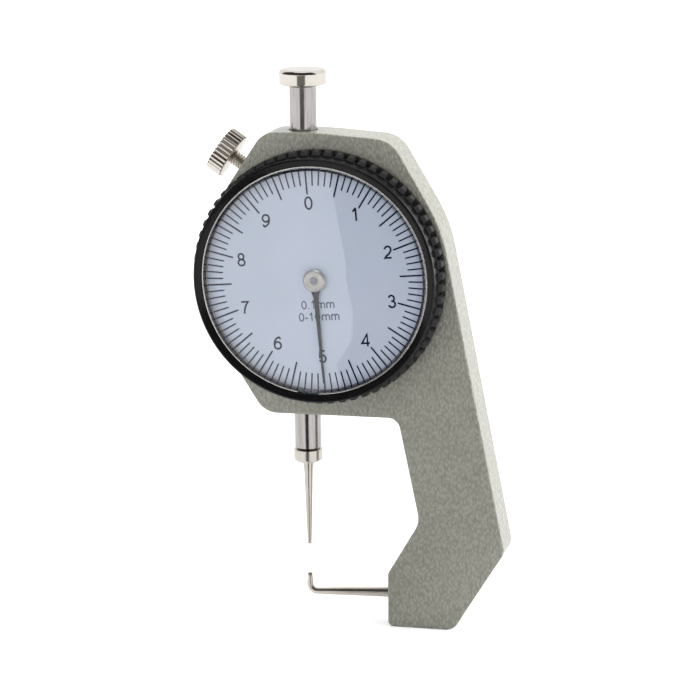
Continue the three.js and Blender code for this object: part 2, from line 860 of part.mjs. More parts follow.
function rearBearing() {
  return turnedRing([
    [bearingBore, bridgeFront], [rearBearingRadius, bridgeFront],
    [rearBearingRadius, bridgeBack], [bearingBore, bridgeBack],
  ]);
}

function rearBridge() {
  const nose = rearBearingRadius + bridgeNoseWall;
  const outline = roundedOutline([
    [-nose, nose, nose], [bridgeTail, bridgeTailHalf, bridgeFillet],
    [bridgeTail, -bridgeTailHalf, bridgeFillet], [-nose, -nose, nose],
  ]);
  const holes = [-bridgeScrewOffset, bridgeScrewOffset].map((z) => (
    drum(bridgeScrewRadius + seatGap, bridgeFront - overrun, bridgeBack + overrun)
      .translate(bridgeScrewX, 0, z)));
  const studHole = drum(studRadius + seatGap, bridgeFront - overrun, bridgeBack + overrun)
    .translate(studX, 0, 0);
  return cut(
    plate(outline, bridgeFront, bridgeBack),
    drum(rearBearingRadius + seatGap, bridgeFront - overrun, bridgeBack + overrun),
    studHole, ...holes);
}

// A slotted cheese-head screw along Y, with its head's face at the given place
function cheeseScrew(headBack) {
  const under = headBack - bridgeScrewHeadHeight;
  const screw = turned([
    [0, under - bridgeScrewLength], [bridgeScrewRadius, under - bridgeScrewLength],
    [bridgeScrewRadius, under], [bridgeScrewHead, under], [bridgeScrewHead, headBack], [0, headBack],
  ]);
  return cut(screw, slot(bridgeScrewHead, headBack));
}

function hairspring() {
  const hairspringSteps = 18;
  const steps = hairspringTurns * hairspringSteps;
  const edge = (offset) => Array.from({ length: steps + 1 }, (_, i) => {
    const angle = turn * hairspringTurns * i / steps;
    const radius = hairspringStart + (hairspringEnd - hairspringStart) * i / steps + offset;
    return new THREE.Vector2(radius * Math.cos(angle), radius * Math.sin(angle));
  });
  const half = hairspringThick / 2;
  const outline = [...edge(half), ...edge(-half).reverse()];
  return plate(new THREE.Shape(outline), hairspringFront, hairspringBack);
}

function hairspringCollet() {
  return turnedRing([
    [arborRadius + seatGap, hairspringFront - hairspringLift / 2],
    [colletRadius, hairspringFront - hairspringLift / 2],
    [colletRadius, hairspringBack + colletEnd], [arborRadius + seatGap, hairspringBack + colletEnd],
  ]);
}

function hairspringStud() {
  return drum(studRadius, bridgeFront, hairspringBack + colletEnd).translate(studX, 0, 0);
}

function backCover() {
  const inner = -coverThick + coverHollowDepth;
  const hollow = chamberRadius - coverHollowInset;
  const disc = turned([
    [0, inner], [hollow, inner], [hollow, coverInner], [coverRadius, coverInner],
    [coverRadius, -coverChamfer], [coverRadius - coverChamfer, 0], [0, 0],
  ]);
  const sinks = coverScrewPlaces().map(([x, z]) => (
    countersunkScrew(seatGap, coverInner - overrun, overrun).translate(x, 0, z)));
  return cut(disc, ...sinks);
}

// A countersunk screw along Y from its end to its face, or the hole for it with a clearance
function countersunkScrew(clearance, end, face) {
  const rim = -coverScrewSink - coverScrewRim;
  const neck = rim - coverScrewCone;
  const shank = coverScrewRadius + clearance;
  const head = coverScrewHead + clearance;
  return turned(
    [[0, end], [shank, end], [shank, neck], [head, rim], [head, face], [0, face]],
    arcSteps(coverScrewHead));
}

// The driver's slot across a screw's face
function slot(radius, face) {
  return box(
    new THREE.Vector3(-radius - overrun, face - slotDepth, -slotWidth / 2),
    new THREE.Vector3(radius + overrun, face + overrun, slotWidth / 2));
}

function coverScrew() {
  const screw = countersunkScrew(0, -coverScrewLength, -coverScrewSink);
  return cut(screw, slot(coverScrewHead, -coverScrewSink));
}

// The toothed flange as an outline: a circle with round notches that turn the bezel by hand
function notchedOutline() {
  const centre = flangeRadius - notchDepth + notchRadius;
  const half = Math.acos((flangeRadius ** 2 + centre ** 2 - notchRadius ** 2)
    / (2 * flangeRadius * centre));
  const mouth = Math.atan2(flangeRadius * Math.sin(half), flangeRadius * Math.cos(half) - centre);
  const notchSteps = 3;
  const points = Array.from({ length: flangeNotches }, (_, i) => {
    const middle = turn * i / flangeNotches;
    return Array.from({ length: notchSteps + 1 }, (__, k) => {
      const angle = -mouth - (turn - 2 * mouth) * k / notchSteps;
      const across = new THREE.Vector2(
        centre + notchRadius * Math.cos(angle), notchRadius * Math.sin(angle));
      return across.rotateAround(new THREE.Vector2(), middle);
    });
  }).flat();
  return new THREE.Shape(points);
}

function bezelRing() {
  const lipBore = collarRadius + collarGap / 2;
  const bore = collarRadius + collarGap;
  const grooveBore = collarRadius + snapRingWidth - snapGrooveDepth + collarGap + seatGap;
  const grooveLow = snapGrooveStart - collarGap / 2;
  const grooveHigh = snapGrooveStart + snapGrooveWidth + collarGap / 2;
  const body = turnedRing([
    [lipBore, ahead(bezelLift)],
    [lipBore, ahead(grooveLow)],
    [grooveBore, ahead(grooveLow)],
    [grooveBore, ahead(grooveHigh)],
    [bore, ahead(grooveHigh)],
    [bore, ahead(ledgeBottom)],
    [bezelBore - ledgeWidth, ahead(ledgeBottom)],
    [bezelBore - ledgeWidth, ahead(ledgeTop)],
    [bezelBore, ahead(ledgeTop)],
    [bezelBore, ahead(bezelTop - bezelConeDepth)],
    [bezelRadius - bezelEdgeRound, ahead(bezelTop)],
    [bezelRadius, ahead(bezelTop - bezelEdgeRound)],
    [bezelRadius, ahead(bezelLift)],
  ]);
  const flange = notchedOutline();
  flange.holes.push(new THREE.Path(circle((bezelRadius + bezelBore) / 2)));
  return join(body, plate(flange, ahead(flangeTop), ahead(bezelLift)));
}

// The open wire ring that keeps the bezel on its seat
function bezelSnapRing() {
  const inner = collarRadius - snapGrooveDepth + seatGap;
  const low = snapGrooveStart + (snapGrooveWidth - snapRingThick) / 2;
  const shape = openRing(inner, inner + snapRingWidth, snapRingOpenDegrees * degrees, turn / 4);
  return plate(shape, ahead(low + snapRingThick), ahead(low));
}

function dialFacePlate() {
  const hole = bossSpigotRadius + dialHoleGap;
  const rim = bezelBore - seatGap;
  return turnedRing([
    [hole, ahead(dialBack)], [rim, ahead(dialBack)], [rim, ahead(dialFace)], [hole, ahead(dialFace)],
  ]);
}

function crystalLens() {
  const rim = bezelBore - seatGap;
  const inner = rim - crystalFootWidth;
  const shoulder = rim - ringWidth - runningGap;
  return turned([
    [0, ahead(crystalInner)],
    [inner - crystalBevel + crystalDome, ahead(crystalTop - crystalThick)],
    [inner, ahead(crystalBase)],
    [rim, ahead(crystalBase)],
    [rim, ahead(crystalBase + crystalFoot)],
    [shoulder, ahead(crystalBase + crystalFoot)],
    [shoulder - crystalBevel, ahead(crystalTop)],
    [0, ahead(crystalTop + crystalDome)],
  ]);
}

function crystalRing() {
  const outer = bezelBore - seatGap;
  const middle = -turn / 4 - ringOpenTurnDegrees * degrees;
  const shape = openRing(outer - ringWidth, outer, ringOpenDegrees * degrees, middle);
  return plate(shape, ahead(ringBase + ringThick), ahead(ringBase));
}

// The pointer drawn pointing up, a round hub that flows into a thin tapering needle
function pointerNeedle() {
  const hubSteps = arcSteps(pointerHubRadius);
  const meet = Math.asin(pointerNeckHalf / pointerHubRadius);
  const hub = Array.from({ length: hubSteps + 1 }, (_, i) => {
    const angle = turn / 4 + meet + (turn - 2 * meet) * i / hubSteps;
    return new THREE.Vector2(pointerHubRadius * Math.cos(angle), pointerHubRadius * Math.sin(angle));
  });
  const shape = new THREE.Shape([
    ...hub,
    new THREE.Vector2(pointerRootHalf, pointerFlare),
    new THREE.Vector2(pointerTipHalf, pointerLength),
    new THREE.Vector2(-pointerTipHalf, pointerLength),
    new THREE.Vector2(-pointerRootHalf, pointerFlare),
  ]);
  shape.holes.push(new THREE.Path(circle(bossSpigotRadius + seatGap)));
  return plate(shape, ahead(pointerFront), ahead(pointerBack));
}

function pointerBoss() {
  const bore = arborRadius + seatGap;
  return turnedRing([
    [bore, ahead(dialFace + bossSpigotGap)],
    [bossSpigotRadius, ahead(dialFace + bossSpigotGap)],
    [bossSpigotRadius, ahead(bossBack)],
    [bossRadius, ahead(bossBack)],
    [bossRadius, ahead(bossFront)],
    [bore, ahead(bossFront)],
  ]);
}

// The brass pad between the lock screw and the spindle, hollowed to fit the spindle
function lockPad() {
  const pad = alongLock(drum(lockPadRadius, 0, lockPadEnd));
  return cut(pad, column(spindleX, spindleY, spindleRadius + lockPadGap, 0, frameTop));
}

// The knurled screw along Y, measured from the spindle's axis
function lockScrew() {
  const under = lockFace + lockHeadStand;
  const shank = drum(lockScrewRadius, lockPadEnd + seatGap, under + lockHeadThick / 2);
  const ridges = Array.from({ length: lockKnurls * 2 }, (_, i) => {
    const radius = lockHeadRadius - (i % 2) * lockKnurlDepth;
    const angle = turn * i / (lockKnurls * 2);
    return new THREE.Vector2(radius * Math.cos(angle), radius * Math.sin(angle));
  });
  const head = closed(new THREE.ExtrudeGeometry(new THREE.Shape(ridges), {
    depth: lockHeadThick - 2 * lockHeadRound,
    bevelThickness: lockHeadRound,
    bevelSize: lockHeadRound,
    bevelOffset: -lockHeadRound,
    bevelSegments: 1,
  }).rotateX(-turn / 4).translate(0, under + lockHeadRound, 0));
  return join(shank, head);
}

function finish(color, roughness, metalness, opacity = 1) {
  return new THREE.MeshStandardMaterial({
    color, roughness, metalness, opacity, transparent: opacity < 1,
  });
}

const hammertone = () => finish(0x8b8c80, 0.55, 0.2);
const chrome = () => finish(0xd2d0cc, 0.15, 1);
const steel = () => finish(0xb9babd, 0.3, 1);
const brass = () => finish(0xc5a457, 0.35, 1);
const springSteel = () => finish(0x8f949c, 0.3, 1);
const blackPlastic = () => finish(0x17171a, 0.3, 0);
const dialPaint = () => finish(0xbec5d2, 0.5, 0);
const clearPlastic = () => finish(0xffffff, 0.05, 0, 0.2);
const pointerPaint = () => finish(0x3a3c40, 0.45, 0.3);
const bossMetal = () => finish(0xcac2b4, 0.35, 1);

function piece(name, geometry, material) {
  const mesh = new THREE.Mesh(geometry, material);
  mesh.name = name;
  return mesh;
}

function frameGroup() {
  const group = new THREE.Group();
  group.add(
    piece("frame", frameBody(), hammertone()),
    piece("back_cover", backCover(), steel()),
    piece("upper_bush", upperBush(), brass()),
    piece("lower_bush", lowerBush(), brass()),
    piece("front_bearing", frontBearing(), brass()),
    piece("rear_bridge", rearBridge(), brass()),
    piece("rear_bearing", rearBearing(), steel()),
    piece("hairspring_stud", hairspringStud(), steel()),
    piece("hairspring", hairspring(), springSteel()),
    piece("spring_post", springPost(), steel()),
    piece("return_spring", returnSpring(), springSteel()),
    piece("anvil", anvil(), chrome()),
    piece("anvil_set_screw", anvilSetScrew(), steel()),
    piece("bezel_snap_ring", bezelSnapRing(), springSteel()));
  coverScrewPlaces().forEach(([x, z], i) => {
    const screw = piece(`cover_screw_${i + 1}`, coverScrew(), steel());
    screw.position.set(x, 0, z);
    group.add(screw);
  });
  [bridgeScrewOffset, -bridgeScrewOffset].forEach((z, i) => {
    const head = bridgeBack + seatGap + bridgeScrewHeadHeight;
    const screw = piece(`bridge_screw_${i + 1}`, cheeseScrew(head), steel());
    screw.position.set(bridgeScrewX, 0, z);
    group.add(screw);
  });
  return group;
}

function spindleGroup() {
  const group = new THREE.Group();
  group.position.set(spindleX, spindleY, 0);
  group.add(
    piece("spindle", spindleShaft(), steel()),
    piece("plunger_cap", plungerCap(), chrome()),
    piece("contact_point", contactPoint(), chrome()),
    piece("guide_pin", guidePin(), steel()),
    piece("spring_pin", springPin(), steel()));
  return group;
}

function pointerGroup() {
  const group = new THREE.Group();
  const needle = piece("pointer", pointerNeedle(), pointerPaint());
  needle.rotation.y = turn * reading / travel - dialTurnDegrees * degrees;
  group.add(
    piece("pointer_arbor", pointerArbor(), steel()),
    piece("pinion", pinionGear(), brass()),
    piece("hairspring_collet", hairspringCollet(), brass()),
    needle,
    piece("pointer_boss", pointerBoss(), bossMetal()));
  return group;
}

function bezelGroup() {
  const group = new THREE.Group();
  group.add(
    piece("bezel", bezelRing(), blackPlastic()),
    piece("dial_face", dialFacePlate(), dialPaint()),
    piece("crystal", crystalLens(), clearPlastic()),
    piece("crystal_ring", crystalRing(), chrome()));
  return group;
}

function lockGroup() {
  const group = new THREE.Group();
  const screw = piece("lock_screw", lockScrew(), chrome());
  screw.quaternion.setFromUnitVectors(new THREE.Vector3(0, 1, 0), lockDirection);
  screw.position.copy(lockOrigin);
  group.add(piece("lock_pad", lockPad(), brass()), screw);
  return group;
}

const gauge = new THREE.Group();
gauge.add(frameGroup(), spindleGroup(), pointerGroup(), bezelGroup(), lockGroup());

export default gauge;
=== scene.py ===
import math

import bmesh
import bpy
from mathutils import Matrix, Vector


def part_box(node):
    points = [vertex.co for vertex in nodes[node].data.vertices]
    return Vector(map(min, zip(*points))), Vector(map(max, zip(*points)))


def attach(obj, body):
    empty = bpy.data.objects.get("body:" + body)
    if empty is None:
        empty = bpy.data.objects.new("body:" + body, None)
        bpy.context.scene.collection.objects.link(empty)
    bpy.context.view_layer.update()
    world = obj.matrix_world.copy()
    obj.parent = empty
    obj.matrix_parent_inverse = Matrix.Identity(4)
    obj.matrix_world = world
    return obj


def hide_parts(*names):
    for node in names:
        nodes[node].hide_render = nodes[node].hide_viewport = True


# Dial thickness gauge. Sizes are in millimetres and become metres when a piece is placed.
# +X is to the right, the dial looks along -Y and +Z is up.

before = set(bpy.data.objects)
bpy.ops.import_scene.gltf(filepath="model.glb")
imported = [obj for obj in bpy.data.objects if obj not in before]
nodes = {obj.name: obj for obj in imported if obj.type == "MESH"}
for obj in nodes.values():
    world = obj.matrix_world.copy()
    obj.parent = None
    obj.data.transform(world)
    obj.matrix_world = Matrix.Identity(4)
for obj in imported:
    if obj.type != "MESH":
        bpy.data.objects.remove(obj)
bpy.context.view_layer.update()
mm = 0.001
fullTurn = 2 * math.pi

# The clearances of holes, how far a cut runs past what it cuts, and how near corners lie that are welded
fit = 0.05
looseFit = 0.08
overrun = 1
weld = 0.001

scene = bpy.context.scene
print("frame loaded:", len(nodes), "nodes")


def boxInMm(node):
    low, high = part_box(node)
    return low / mm, high / mm


def pick(facts, names):
    # Several of a piece's sizes at once
    return [facts[name] for name in names.split()]


def anglesFrom(start, end, steps):
    # Equal steps from one angle in degrees to another, as radians
    return [math.radians(start + (end - start) * k / steps) for k in range(steps + 1)]


def inMetres(place):
    # A place in millimetres, for a mesh that is in metres already
    return Matrix.Scale(mm, 4) @ place @ Matrix.Scale(1 / mm, 4)


def along(way, start):
    # The place of a piece whose Z axis lies along a way
    return Matrix.Translation(start) @ Vector((0, 0, 1)).rotation_difference(way).to_matrix().to_4x4()


capLow, capHigh = boxInMm("plunger_cap")
frameLow, frameHigh = boxInMm("frame")
spindleX = (capLow.x + capHigh.x) / 2
spindleY = (capLow.y + capHigh.y) / 2
frameFront = boxInMm("front_bearing")[0].y
frameBack = frameHigh.y
footZ = frameLow.z
topZ = frameHigh.z

# Places that a piece modelled about its own Z axis is brought to
asDrawn = Matrix.Identity(4)
onDial = Matrix.Translation((0, frameFront, 0)) @ Matrix(
    ((1, 0, 0, 0), (0, 0, -1, 0), (0, 1, 0, 0), (0, 0, 0, 1)))
onBack = Matrix(((1, 0, 0, 0), (0, 0, 1, 0), (0, -1, 0, 0), (0, 0, 0, 1)))
onSpindle = Matrix.Translation((spindleX, spindleY, 0))
lockTilt = math.radians(34)
lockHeight = 10.6
lockDirection = Vector((-math.cos(lockTilt), 0, math.sin(lockTilt)))
lockOrigin = Vector((spindleX, spindleY, lockHeight))
onLock = along(lockDirection, lockOrigin)


# Node trees

def operator(operation, swapped=False):
    # What a Python operator does with a Value and another Value or number
    def work(self, other):
        pair = (other, self) if swapped else (self, other)
        return self.wiring.maths(operation, *pair)
    return work


class Value:
    # A number in a node tree, which Python's operators work on
    def __init__(self, wiring, socket):
        self.wiring = wiring
        self.socket = socket

    def between(self, low, high):
        # 0 below low and 1 above high, with a soft step
        return self.wiring.value("ShaderNodeMapRange", 0, {"interpolation_type": "SMOOTHSTEP"}, {
            "Value": self, "From Min": low, "From Max": high})

    __add__ = __radd__ = operator("ADD")
    __sub__ = operator("SUBTRACT")
    __rsub__ = operator("SUBTRACT", swapped=True)
    __mul__ = __rmul__ = operator("MULTIPLY")
    __truediv__ = operator("DIVIDE")
    __pow__ = operator("POWER")
    __mod__ = operator("MODULO")


class Wiring:
    # A node tree, with ways to add a node and to feed its inputs
    def __init__(self, tree):
        self.tree = tree

    def feed(self, socket, source):
        # A value or a socket is linked, and anything else is set
        if isinstance(source, Value):
            source = source.socket
        if isinstance(source, bpy.types.NodeSocket):
            self.tree.links.new(source, socket)
        else:
            socket.default_value = source

    def node(self, kind, settings=None, inputs=None):
        node = self.tree.nodes.new(kind)
        for name, setting in (settings or {}).items():
            setattr(node, name, setting)
        for name, source in (inputs or {}).items():
            self.feed(node.inputs[name], source)
        return node

    def value(self, kind, output, settings=None, inputs=None):
        return Value(self, self.node(kind, settings, inputs).outputs[output])

    def maths(self, operation, *inputs, clamp=False):
        settings = {"operation": operation, "use_clamp": clamp}
        return self.value("ShaderNodeMath", 0, settings, dict(enumerate(inputs)))


class Finish(Wiring):
    # A material with one Principled shader and patterns on Object coordinates
    def __init__(self, name):
        self.material = bpy.data.materials.new(name)
        self.material.use_nodes = True
        super().__init__(self.material.node_tree)
        self.tree.nodes.clear()
        self.shader = self.node("ShaderNodeBsdfPrincipled")
        self.output = self.node(
            "ShaderNodeOutputMaterial", {}, {"Surface": self.shader.outputs["BSDF"]})
        self.place = self.node("ShaderNodeTexCoord").outputs["Object"]

    def set(self, **sources):
        for name, source in sources.items():
            self.feed(self.shader.inputs[name.replace("_", " ")], source)

    def stretched(self, x, y, z):
        return self.node("ShaderNodeMapping", {}, {"Vector": self.place, "Scale": (x, y, z)}).outputs[0]

    def noise(self, sizeInMm, detail=2, roughness=0.5, distortion=0, place=None):
        return self.value("ShaderNodeTexNoise", "Fac", {}, {
            "Vector": place or self.place, "Scale": 1 / (sizeInMm * mm), "Detail": detail,
            "Roughness": roughness, "Distortion": distortion})

    def cells(self, sizeInMm, place, smoothness=0.4):
        return self.value("ShaderNodeTexVoronoi", "Distance", {"feature": "SMOOTH_F1"}, {
            "Vector": place, "Scale": 1 / (sizeInMm * mm), "Smoothness": smoothness})

    def shaken(self, place, sizeInMm, amountInMm):
        # Coordinates pushed about by a noise, so that a pattern on them wanders
        push = self.node("ShaderNodeTexNoise", {}, {
            "Vector": place, "Scale": 1 / (sizeInMm * mm), "Detail": 1}).outputs["Color"]
        centred = self.node("ShaderNodeVectorMath", {"operation": "SUBTRACT"}, {0: push, 1: (0.5,) * 3})
        scaled = self.node("ShaderNodeVectorMath", {"operation": "SCALE"}, {
            0: centred.outputs[0], "Scale": 2 * amountInMm * mm})
        return self.node("ShaderNodeVectorMath", {}, {0: place, 1: scaled.outputs[0]}).outputs[0]

    def coordinate(self, axis):
        return self.value("ShaderNodeSeparateXYZ", axis, {}, {"Vector": self.place})

    def radiusFromDial(self):
        # The distance from the dial's axis
        across, up = self.coordinate("X"), self.coordinate("Z")
        return (across * across + up * up) ** 0.5

    def turnedRings(self, sizeInMm):
        # Fine rings round the dial's axis
        line = self.node("ShaderNodeCombineXYZ", {}, {"X": self.radiusFromDial()}).outputs[0]
        return self.noise(sizeInMm, 3, 0.7, place=line)

    def mixed(self, factor, first, second):
        inputs = {0: factor, 6: first, 7: second}
        return self.node("ShaderNodeMix", {"data_type": "RGBA"}, inputs).outputs[2]

    def bumped(self, height, depthInMm, strength=1, normal=None):
        inputs = {"Height": height, "Distance": depthInMm * mm, "Strength": strength}
        if normal is not None:
            inputs["Normal"] = normal
        return self.node("ShaderNodeBump", {}, inputs).outputs["Normal"]

    def givesWay(self, share, other):
        # The Principled shader gives way to another one by a share
        mix = self.node("ShaderNodeMixShader", {}, {
            0: share, 1: self.shader.outputs["BSDF"], 2: other.outputs[0]})
        self.feed(self.output.inputs["Surface"], mix.outputs[0])


class Pattern(Wiring):
    # A geometry node tree that sets out copies of a mesh by named counts and lengths
    def __init__(self, name, counts, lengths=()):
        super().__init__(bpy.data.node_groups.new(name, "GeometryNodeTree"))
        make = self.tree.interface.new_socket
        make("Geometry", in_out="OUTPUT", socket_type="NodeSocketGeometry")
        kinds = {"Geometry": "NodeSocketGeometry", "Material": "NodeSocketMaterial",
                 **dict.fromkeys(counts, "NodeSocketInt"),
                 **dict.fromkeys((*lengths, "Weld"), "NodeSocketFloat")}
        self.sockets = {label: make(label, in_out="INPUT", socket_type=kind)
                        for label, kind in kinds.items()}
        self.given = self.node("NodeGroupInput").outputs
        self.index = self.value("GeometryNodeInputIndex", 0)

    def size(self, label):
        return Value(self, self.given[label])

    def copied(self, points, angle, **more):
        # The mesh at every point, turned about Z and welded to one body
        turning = self.node("FunctionNodeAxisAngleToRotation", {}, {"Axis": (0, 0, 1), "Angle": angle})
        copies = self.node("GeometryNodeInstanceOnPoints", {}, {
            "Points": points.outputs[0], "Instance": self.given["Geometry"],
            "Rotation": turning.outputs[0], **more})
        realized = self.node("GeometryNodeRealizeInstances", {}, {"Geometry": copies.outputs[0]})
        welded = self.node("GeometryNodeMergeByDistance", {}, {
            "Geometry": realized.outputs[0], "Distance": self.size("Weld")})
        painted = self.node("GeometryNodeSetMaterial", {}, {
            "Geometry": welded.outputs[0], "Material": self.given["Material"]})
        self.node("NodeGroupOutput", {}, {0: painted.outputs[0]})

    def applied(self, obj, values):
        modifier = obj.modifiers.new("pattern", "NODES")
        modifier.node_group = self.tree
        for label, value in values.items():
            modifier[self.sockets[label].identifier] = value
        bakeModifiers(obj)


def colour(red, green, blue):
    # A colour given as it shows, from 0 to 255
    def linear(level):
        share = level / 255
        return share / 12.92 if share <= 0.04045 else ((share + 0.055) / 1.055) ** 2.4
    return (linear(red), linear(green), linear(blue), 1)


def bakeModifiers(obj):
    # The evaluated mesh takes the place of the mesh and its modifiers
    graph = bpy.context.evaluated_depsgraph_get()
    mesh = bpy.data.meshes.new_from_object(obj.evaluated_get(graph), depsgraph=graph)
    old = obj.data
    obj.modifiers.clear()
    obj.data = mesh
    mesh.name = old.name
    bpy.data.meshes.remove(old)


# Materials

def hammertonePaint():
    # Small upright pebbles under a clear coat, rare dark specks, and painted shade in a ring under the
    # bezel's edge
    paint = {"ridge": colour(163, 163, 151), "hollow": colour(122, 122, 111), "speck": colour(60, 60, 56),
             "bezelShade": colour(24, 22, 19), "bezelShadeRadius": (20.6, 20.95), "bezelShadeDepth": (0.1, 0.4),
             "pebble": 0.4, "upright": 0.55, "wanderSize": 0.7, "wander": 0.1, "grain": 0.16,
             "tintSize": 5, "speckSize": 1.9, "lump": 0.1, "grainDepth": 0.01}
    finish = Finish("hammertone_paint")
    tall = finish.stretched(1, 1, paint["upright"])
    wandering = finish.shaken(tall, paint["wanderSize"], paint["wander"])
    pebbles = 1 - finish.cells(paint["pebble"], wandering).between(0, 0.9)
    grain = finish.noise(paint["grain"])
    tint = finish.noise(paint["tintSize"], 3, 0.6).between(0.3, 0.7)
    blotch = finish.noise(paint["speckSize"], 2, 0.7).between(0.76, 0.78)
    base = finish.mixed(pebbles * 0.75 + grain * 0.35, paint["hollow"], paint["ridge"])
    aged = finish.mixed(tint * 0.15, base, paint["hollow"])
    specked = finish.mixed(blotch * 0.7, aged, paint["speck"])
    radius, depth = finish.radiusFromDial() / mm, finish.coordinate("Y") / mm - frameFront
    # Painted shade: the casting's face is darkened in a ring under the bezel's flange, where the notches
    # look into shadow
    bezelShade = (1 - radius.between(*paint["bezelShadeRadius"])) * (1 - depth.between(*paint["bezelShadeDepth"]))
    lumps = finish.bumped(pebbles, paint["lump"])
    finish.set(Base_Color=finish.mixed(bezelShade * 0.9, specked, paint["bezelShade"]), Coat_Weight=0.85,
               Coat_Roughness=0.22, Roughness=0.4 + 0.1 * (1 - pebbles) + 0.05 * grain,
               Normal=finish.bumped(grain, paint["grainDepth"], 0.3, lumps))
    return finish.material


def platedChrome(name="chrome", tone=(212, 207, 201), dull=0.17, lined=0.14):
    # Fine turning lines lie level across the plating
    plating = {"filmSize": 5, "yellowing": (8, 11, 15), "lineSize": 1, "lineShape": (0.6, 0.6, 9),
               "line": colour(128, 118, 110), "lineDepth": 0.003}
    finish = Finish(name)
    film = finish.noise(plating["filmSize"], 3, 0.6)
    lines = finish.noise(plating["lineSize"], 4, 0.65, place=finish.stretched(*plating["lineShape"]))
    yellowed = colour(*(level - less for level, less in zip(tone, plating["yellowing"])))
    warm = finish.mixed(film.between(0.3, 0.75), colour(*tone), yellowed)
    streaked = finish.mixed(lines.between(0.42, 0.7) * lined, warm, plating["line"])
    finish.set(Base_Color=streaked, Metallic=1.0, Roughness=dull + 0.05 * film + 0.04 * lines,
               Normal=finish.bumped(lines, plating["lineDepth"], 0.2))
    return finish.material


def drawnSteel(name, tone, dull, axis):
    # Fine scratches lie along one axis
    steel = {"thinness": 14, "scratchSize": 1.2, "streakSize": 6, "darker": 34, "depth": 0.004}
    finish = Finish(name)
    drawn = finish.stretched(*(1 if way == axis else steel["thinness"] for way in "xyz"))
    scratches = finish.noise(steel["scratchSize"], 4, 0.65, place=drawn)
    streaks = finish.noise(steel["streakSize"], 2, 0.6, place=drawn).between(0.35, 0.7)
    darker = colour(*(level - steel["darker"] for level in tone))
    streaked = finish.mixed(streaks * 0.55 + scratches.between(0.5, 0.8) * 0.3, colour(*tone), darker)
    finish.set(Base_Color=streaked, Metallic=1.0, Roughness=dull + 0.06 * scratches,
               Normal=finish.bumped(scratches, steel["depth"], 0.25))
    return finish.material


def satinSteel():
    # Turned faces show rings round the dial's axis
    satin = {"clean": colour(196, 197, 199), "smudged": colour(168, 169, 171), "ringSize": 0.18,
             "ringDepth": 0.008, "smudgeSize": 7}
    finish = Finish("satin_steel")
    rings = finish.turnedRings(satin["ringSize"])
    smudge = finish.noise(satin["smudgeSize"], 3, 0.6)
    tone = finish.mixed(smudge.between(0.4, 0.75) * 0.6, satin["clean"], satin["smudged"])
    finish.set(Base_Color=tone, Metallic=1.0, Roughness=0.24 + 0.16 * rings + 0.06 * smudge,
               Normal=finish.bumped(rings, satin["ringDepth"], 0.4))
    return finish.material


def turnedBrass():
    brass = {"bright": colour(205, 172, 96), "tarnished": colour(160, 124, 62), "tarnishSize": 1.4,
             "markSize": 0.12, "markShape": (1, 6, 1), "markDepth": 0.004}
    finish = Finish("brass")
    marks = finish.noise(brass["markSize"], 3, 0.6, place=finish.stretched(*brass["markShape"]))
    tarnish = finish.noise(brass["tarnishSize"], 3, 0.6)
    tone = finish.mixed(tarnish.between(0.4, 0.8), brass["bright"], brass["tarnished"])
    finish.set(Base_Color=tone, Metallic=1.0, Roughness=0.26 + 0.2 * tarnish,
               Normal=finish.bumped(marks, brass["markDepth"], 0.3))
    return finish.material


def blackPlastic():
    # Glossy on the turned face and in the notches, dull and dusty on the teeth of the flange
    plastic = {"gloss": colour(17, 17, 18), "dull": colour(46, 45, 47), "dust": colour(84, 82, 80),
               "flange": (20.06, 20.25), "notches": 66, "skinSize": 0.35, "skinDepth": 0.01, "dustSize": 0.7}
    finish = Finish("black_plastic")
    angle = finish.maths("ARCTAN2", finish.coordinate("Z"), finish.coordinate("X"))
    notched = finish.maths("COSINE", angle * plastic["notches"]).between(0.1, 0.55)
    radius = finish.radiusFromDial() / mm
    handled = radius.between(*plastic["flange"]) * (1 - notched)
    skin = finish.noise(plastic["skinSize"], 3, 0.6)
    dust = finish.noise(plastic["dustSize"], 4, 0.7, distortion=0.6).between(0.5, 0.75)
    worn = finish.mixed(handled, plastic["gloss"], plastic["dull"])
    dusty = finish.mixed(dust * (0.06 + 0.4 * handled), worn, plastic["dust"])
    finish.set(Base_Color=dusty, Specular_IOR_Level=0.2,
               Roughness=0.14 + 0.08 * skin + 0.3 * handled + 0.05 * dust,
               Normal=finish.bumped(skin, plastic["skinDepth"], 0.25))
    return finish.material


def dialPaint():
    # Painted shade: darker under the crystal's wall, with a soft painted shade that leads up to it
    dial = {"plain": colour(180, 188, 205), "cloudy": colour(176, 186, 202), "under": colour(46, 50, 60),
            "rim": (17.95, 18.15), "shade": (16.2, 17.9), "cloudSize": 14, "grainSize": 0.12,
            "grainDepth": 0.003}
    finish = Finish("dial_paint")
    radius = finish.radiusFromDial() / mm
    cloud = finish.noise(dial["cloudSize"])
    grain = finish.noise(dial["grainSize"])
    base = finish.mixed(cloud.between(0.35, 0.65), dial["plain"], dial["cloudy"])
    # Painted shade towards the rim, under the crystal's wall
    shade = radius.between(*dial["shade"]) * 0.22 + radius.between(*dial["rim"]) * 0.72
    finish.set(Base_Color=finish.mixed(shade, base, dial["under"]), Roughness=0.42 + 0.1 * grain,
               Normal=finish.bumped(grain, dial["grainDepth"], 0.2))
    return finish.material


def printedInk(name, tone):
    ink = {"worn": colour(70, 76, 92), "grainSize": 0.2}
    finish = Finish(name)
    grain = finish.noise(ink["grainSize"], 3, 0.6)
    worn = finish.mixed(grain.between(0.5, 0.8) * 0.2, tone, ink["worn"])
    finish.set(Base_Color=worn, Specular_IOR_Level=0.1, Roughness=0.5 + 0.1 * grain)
    return finish.material


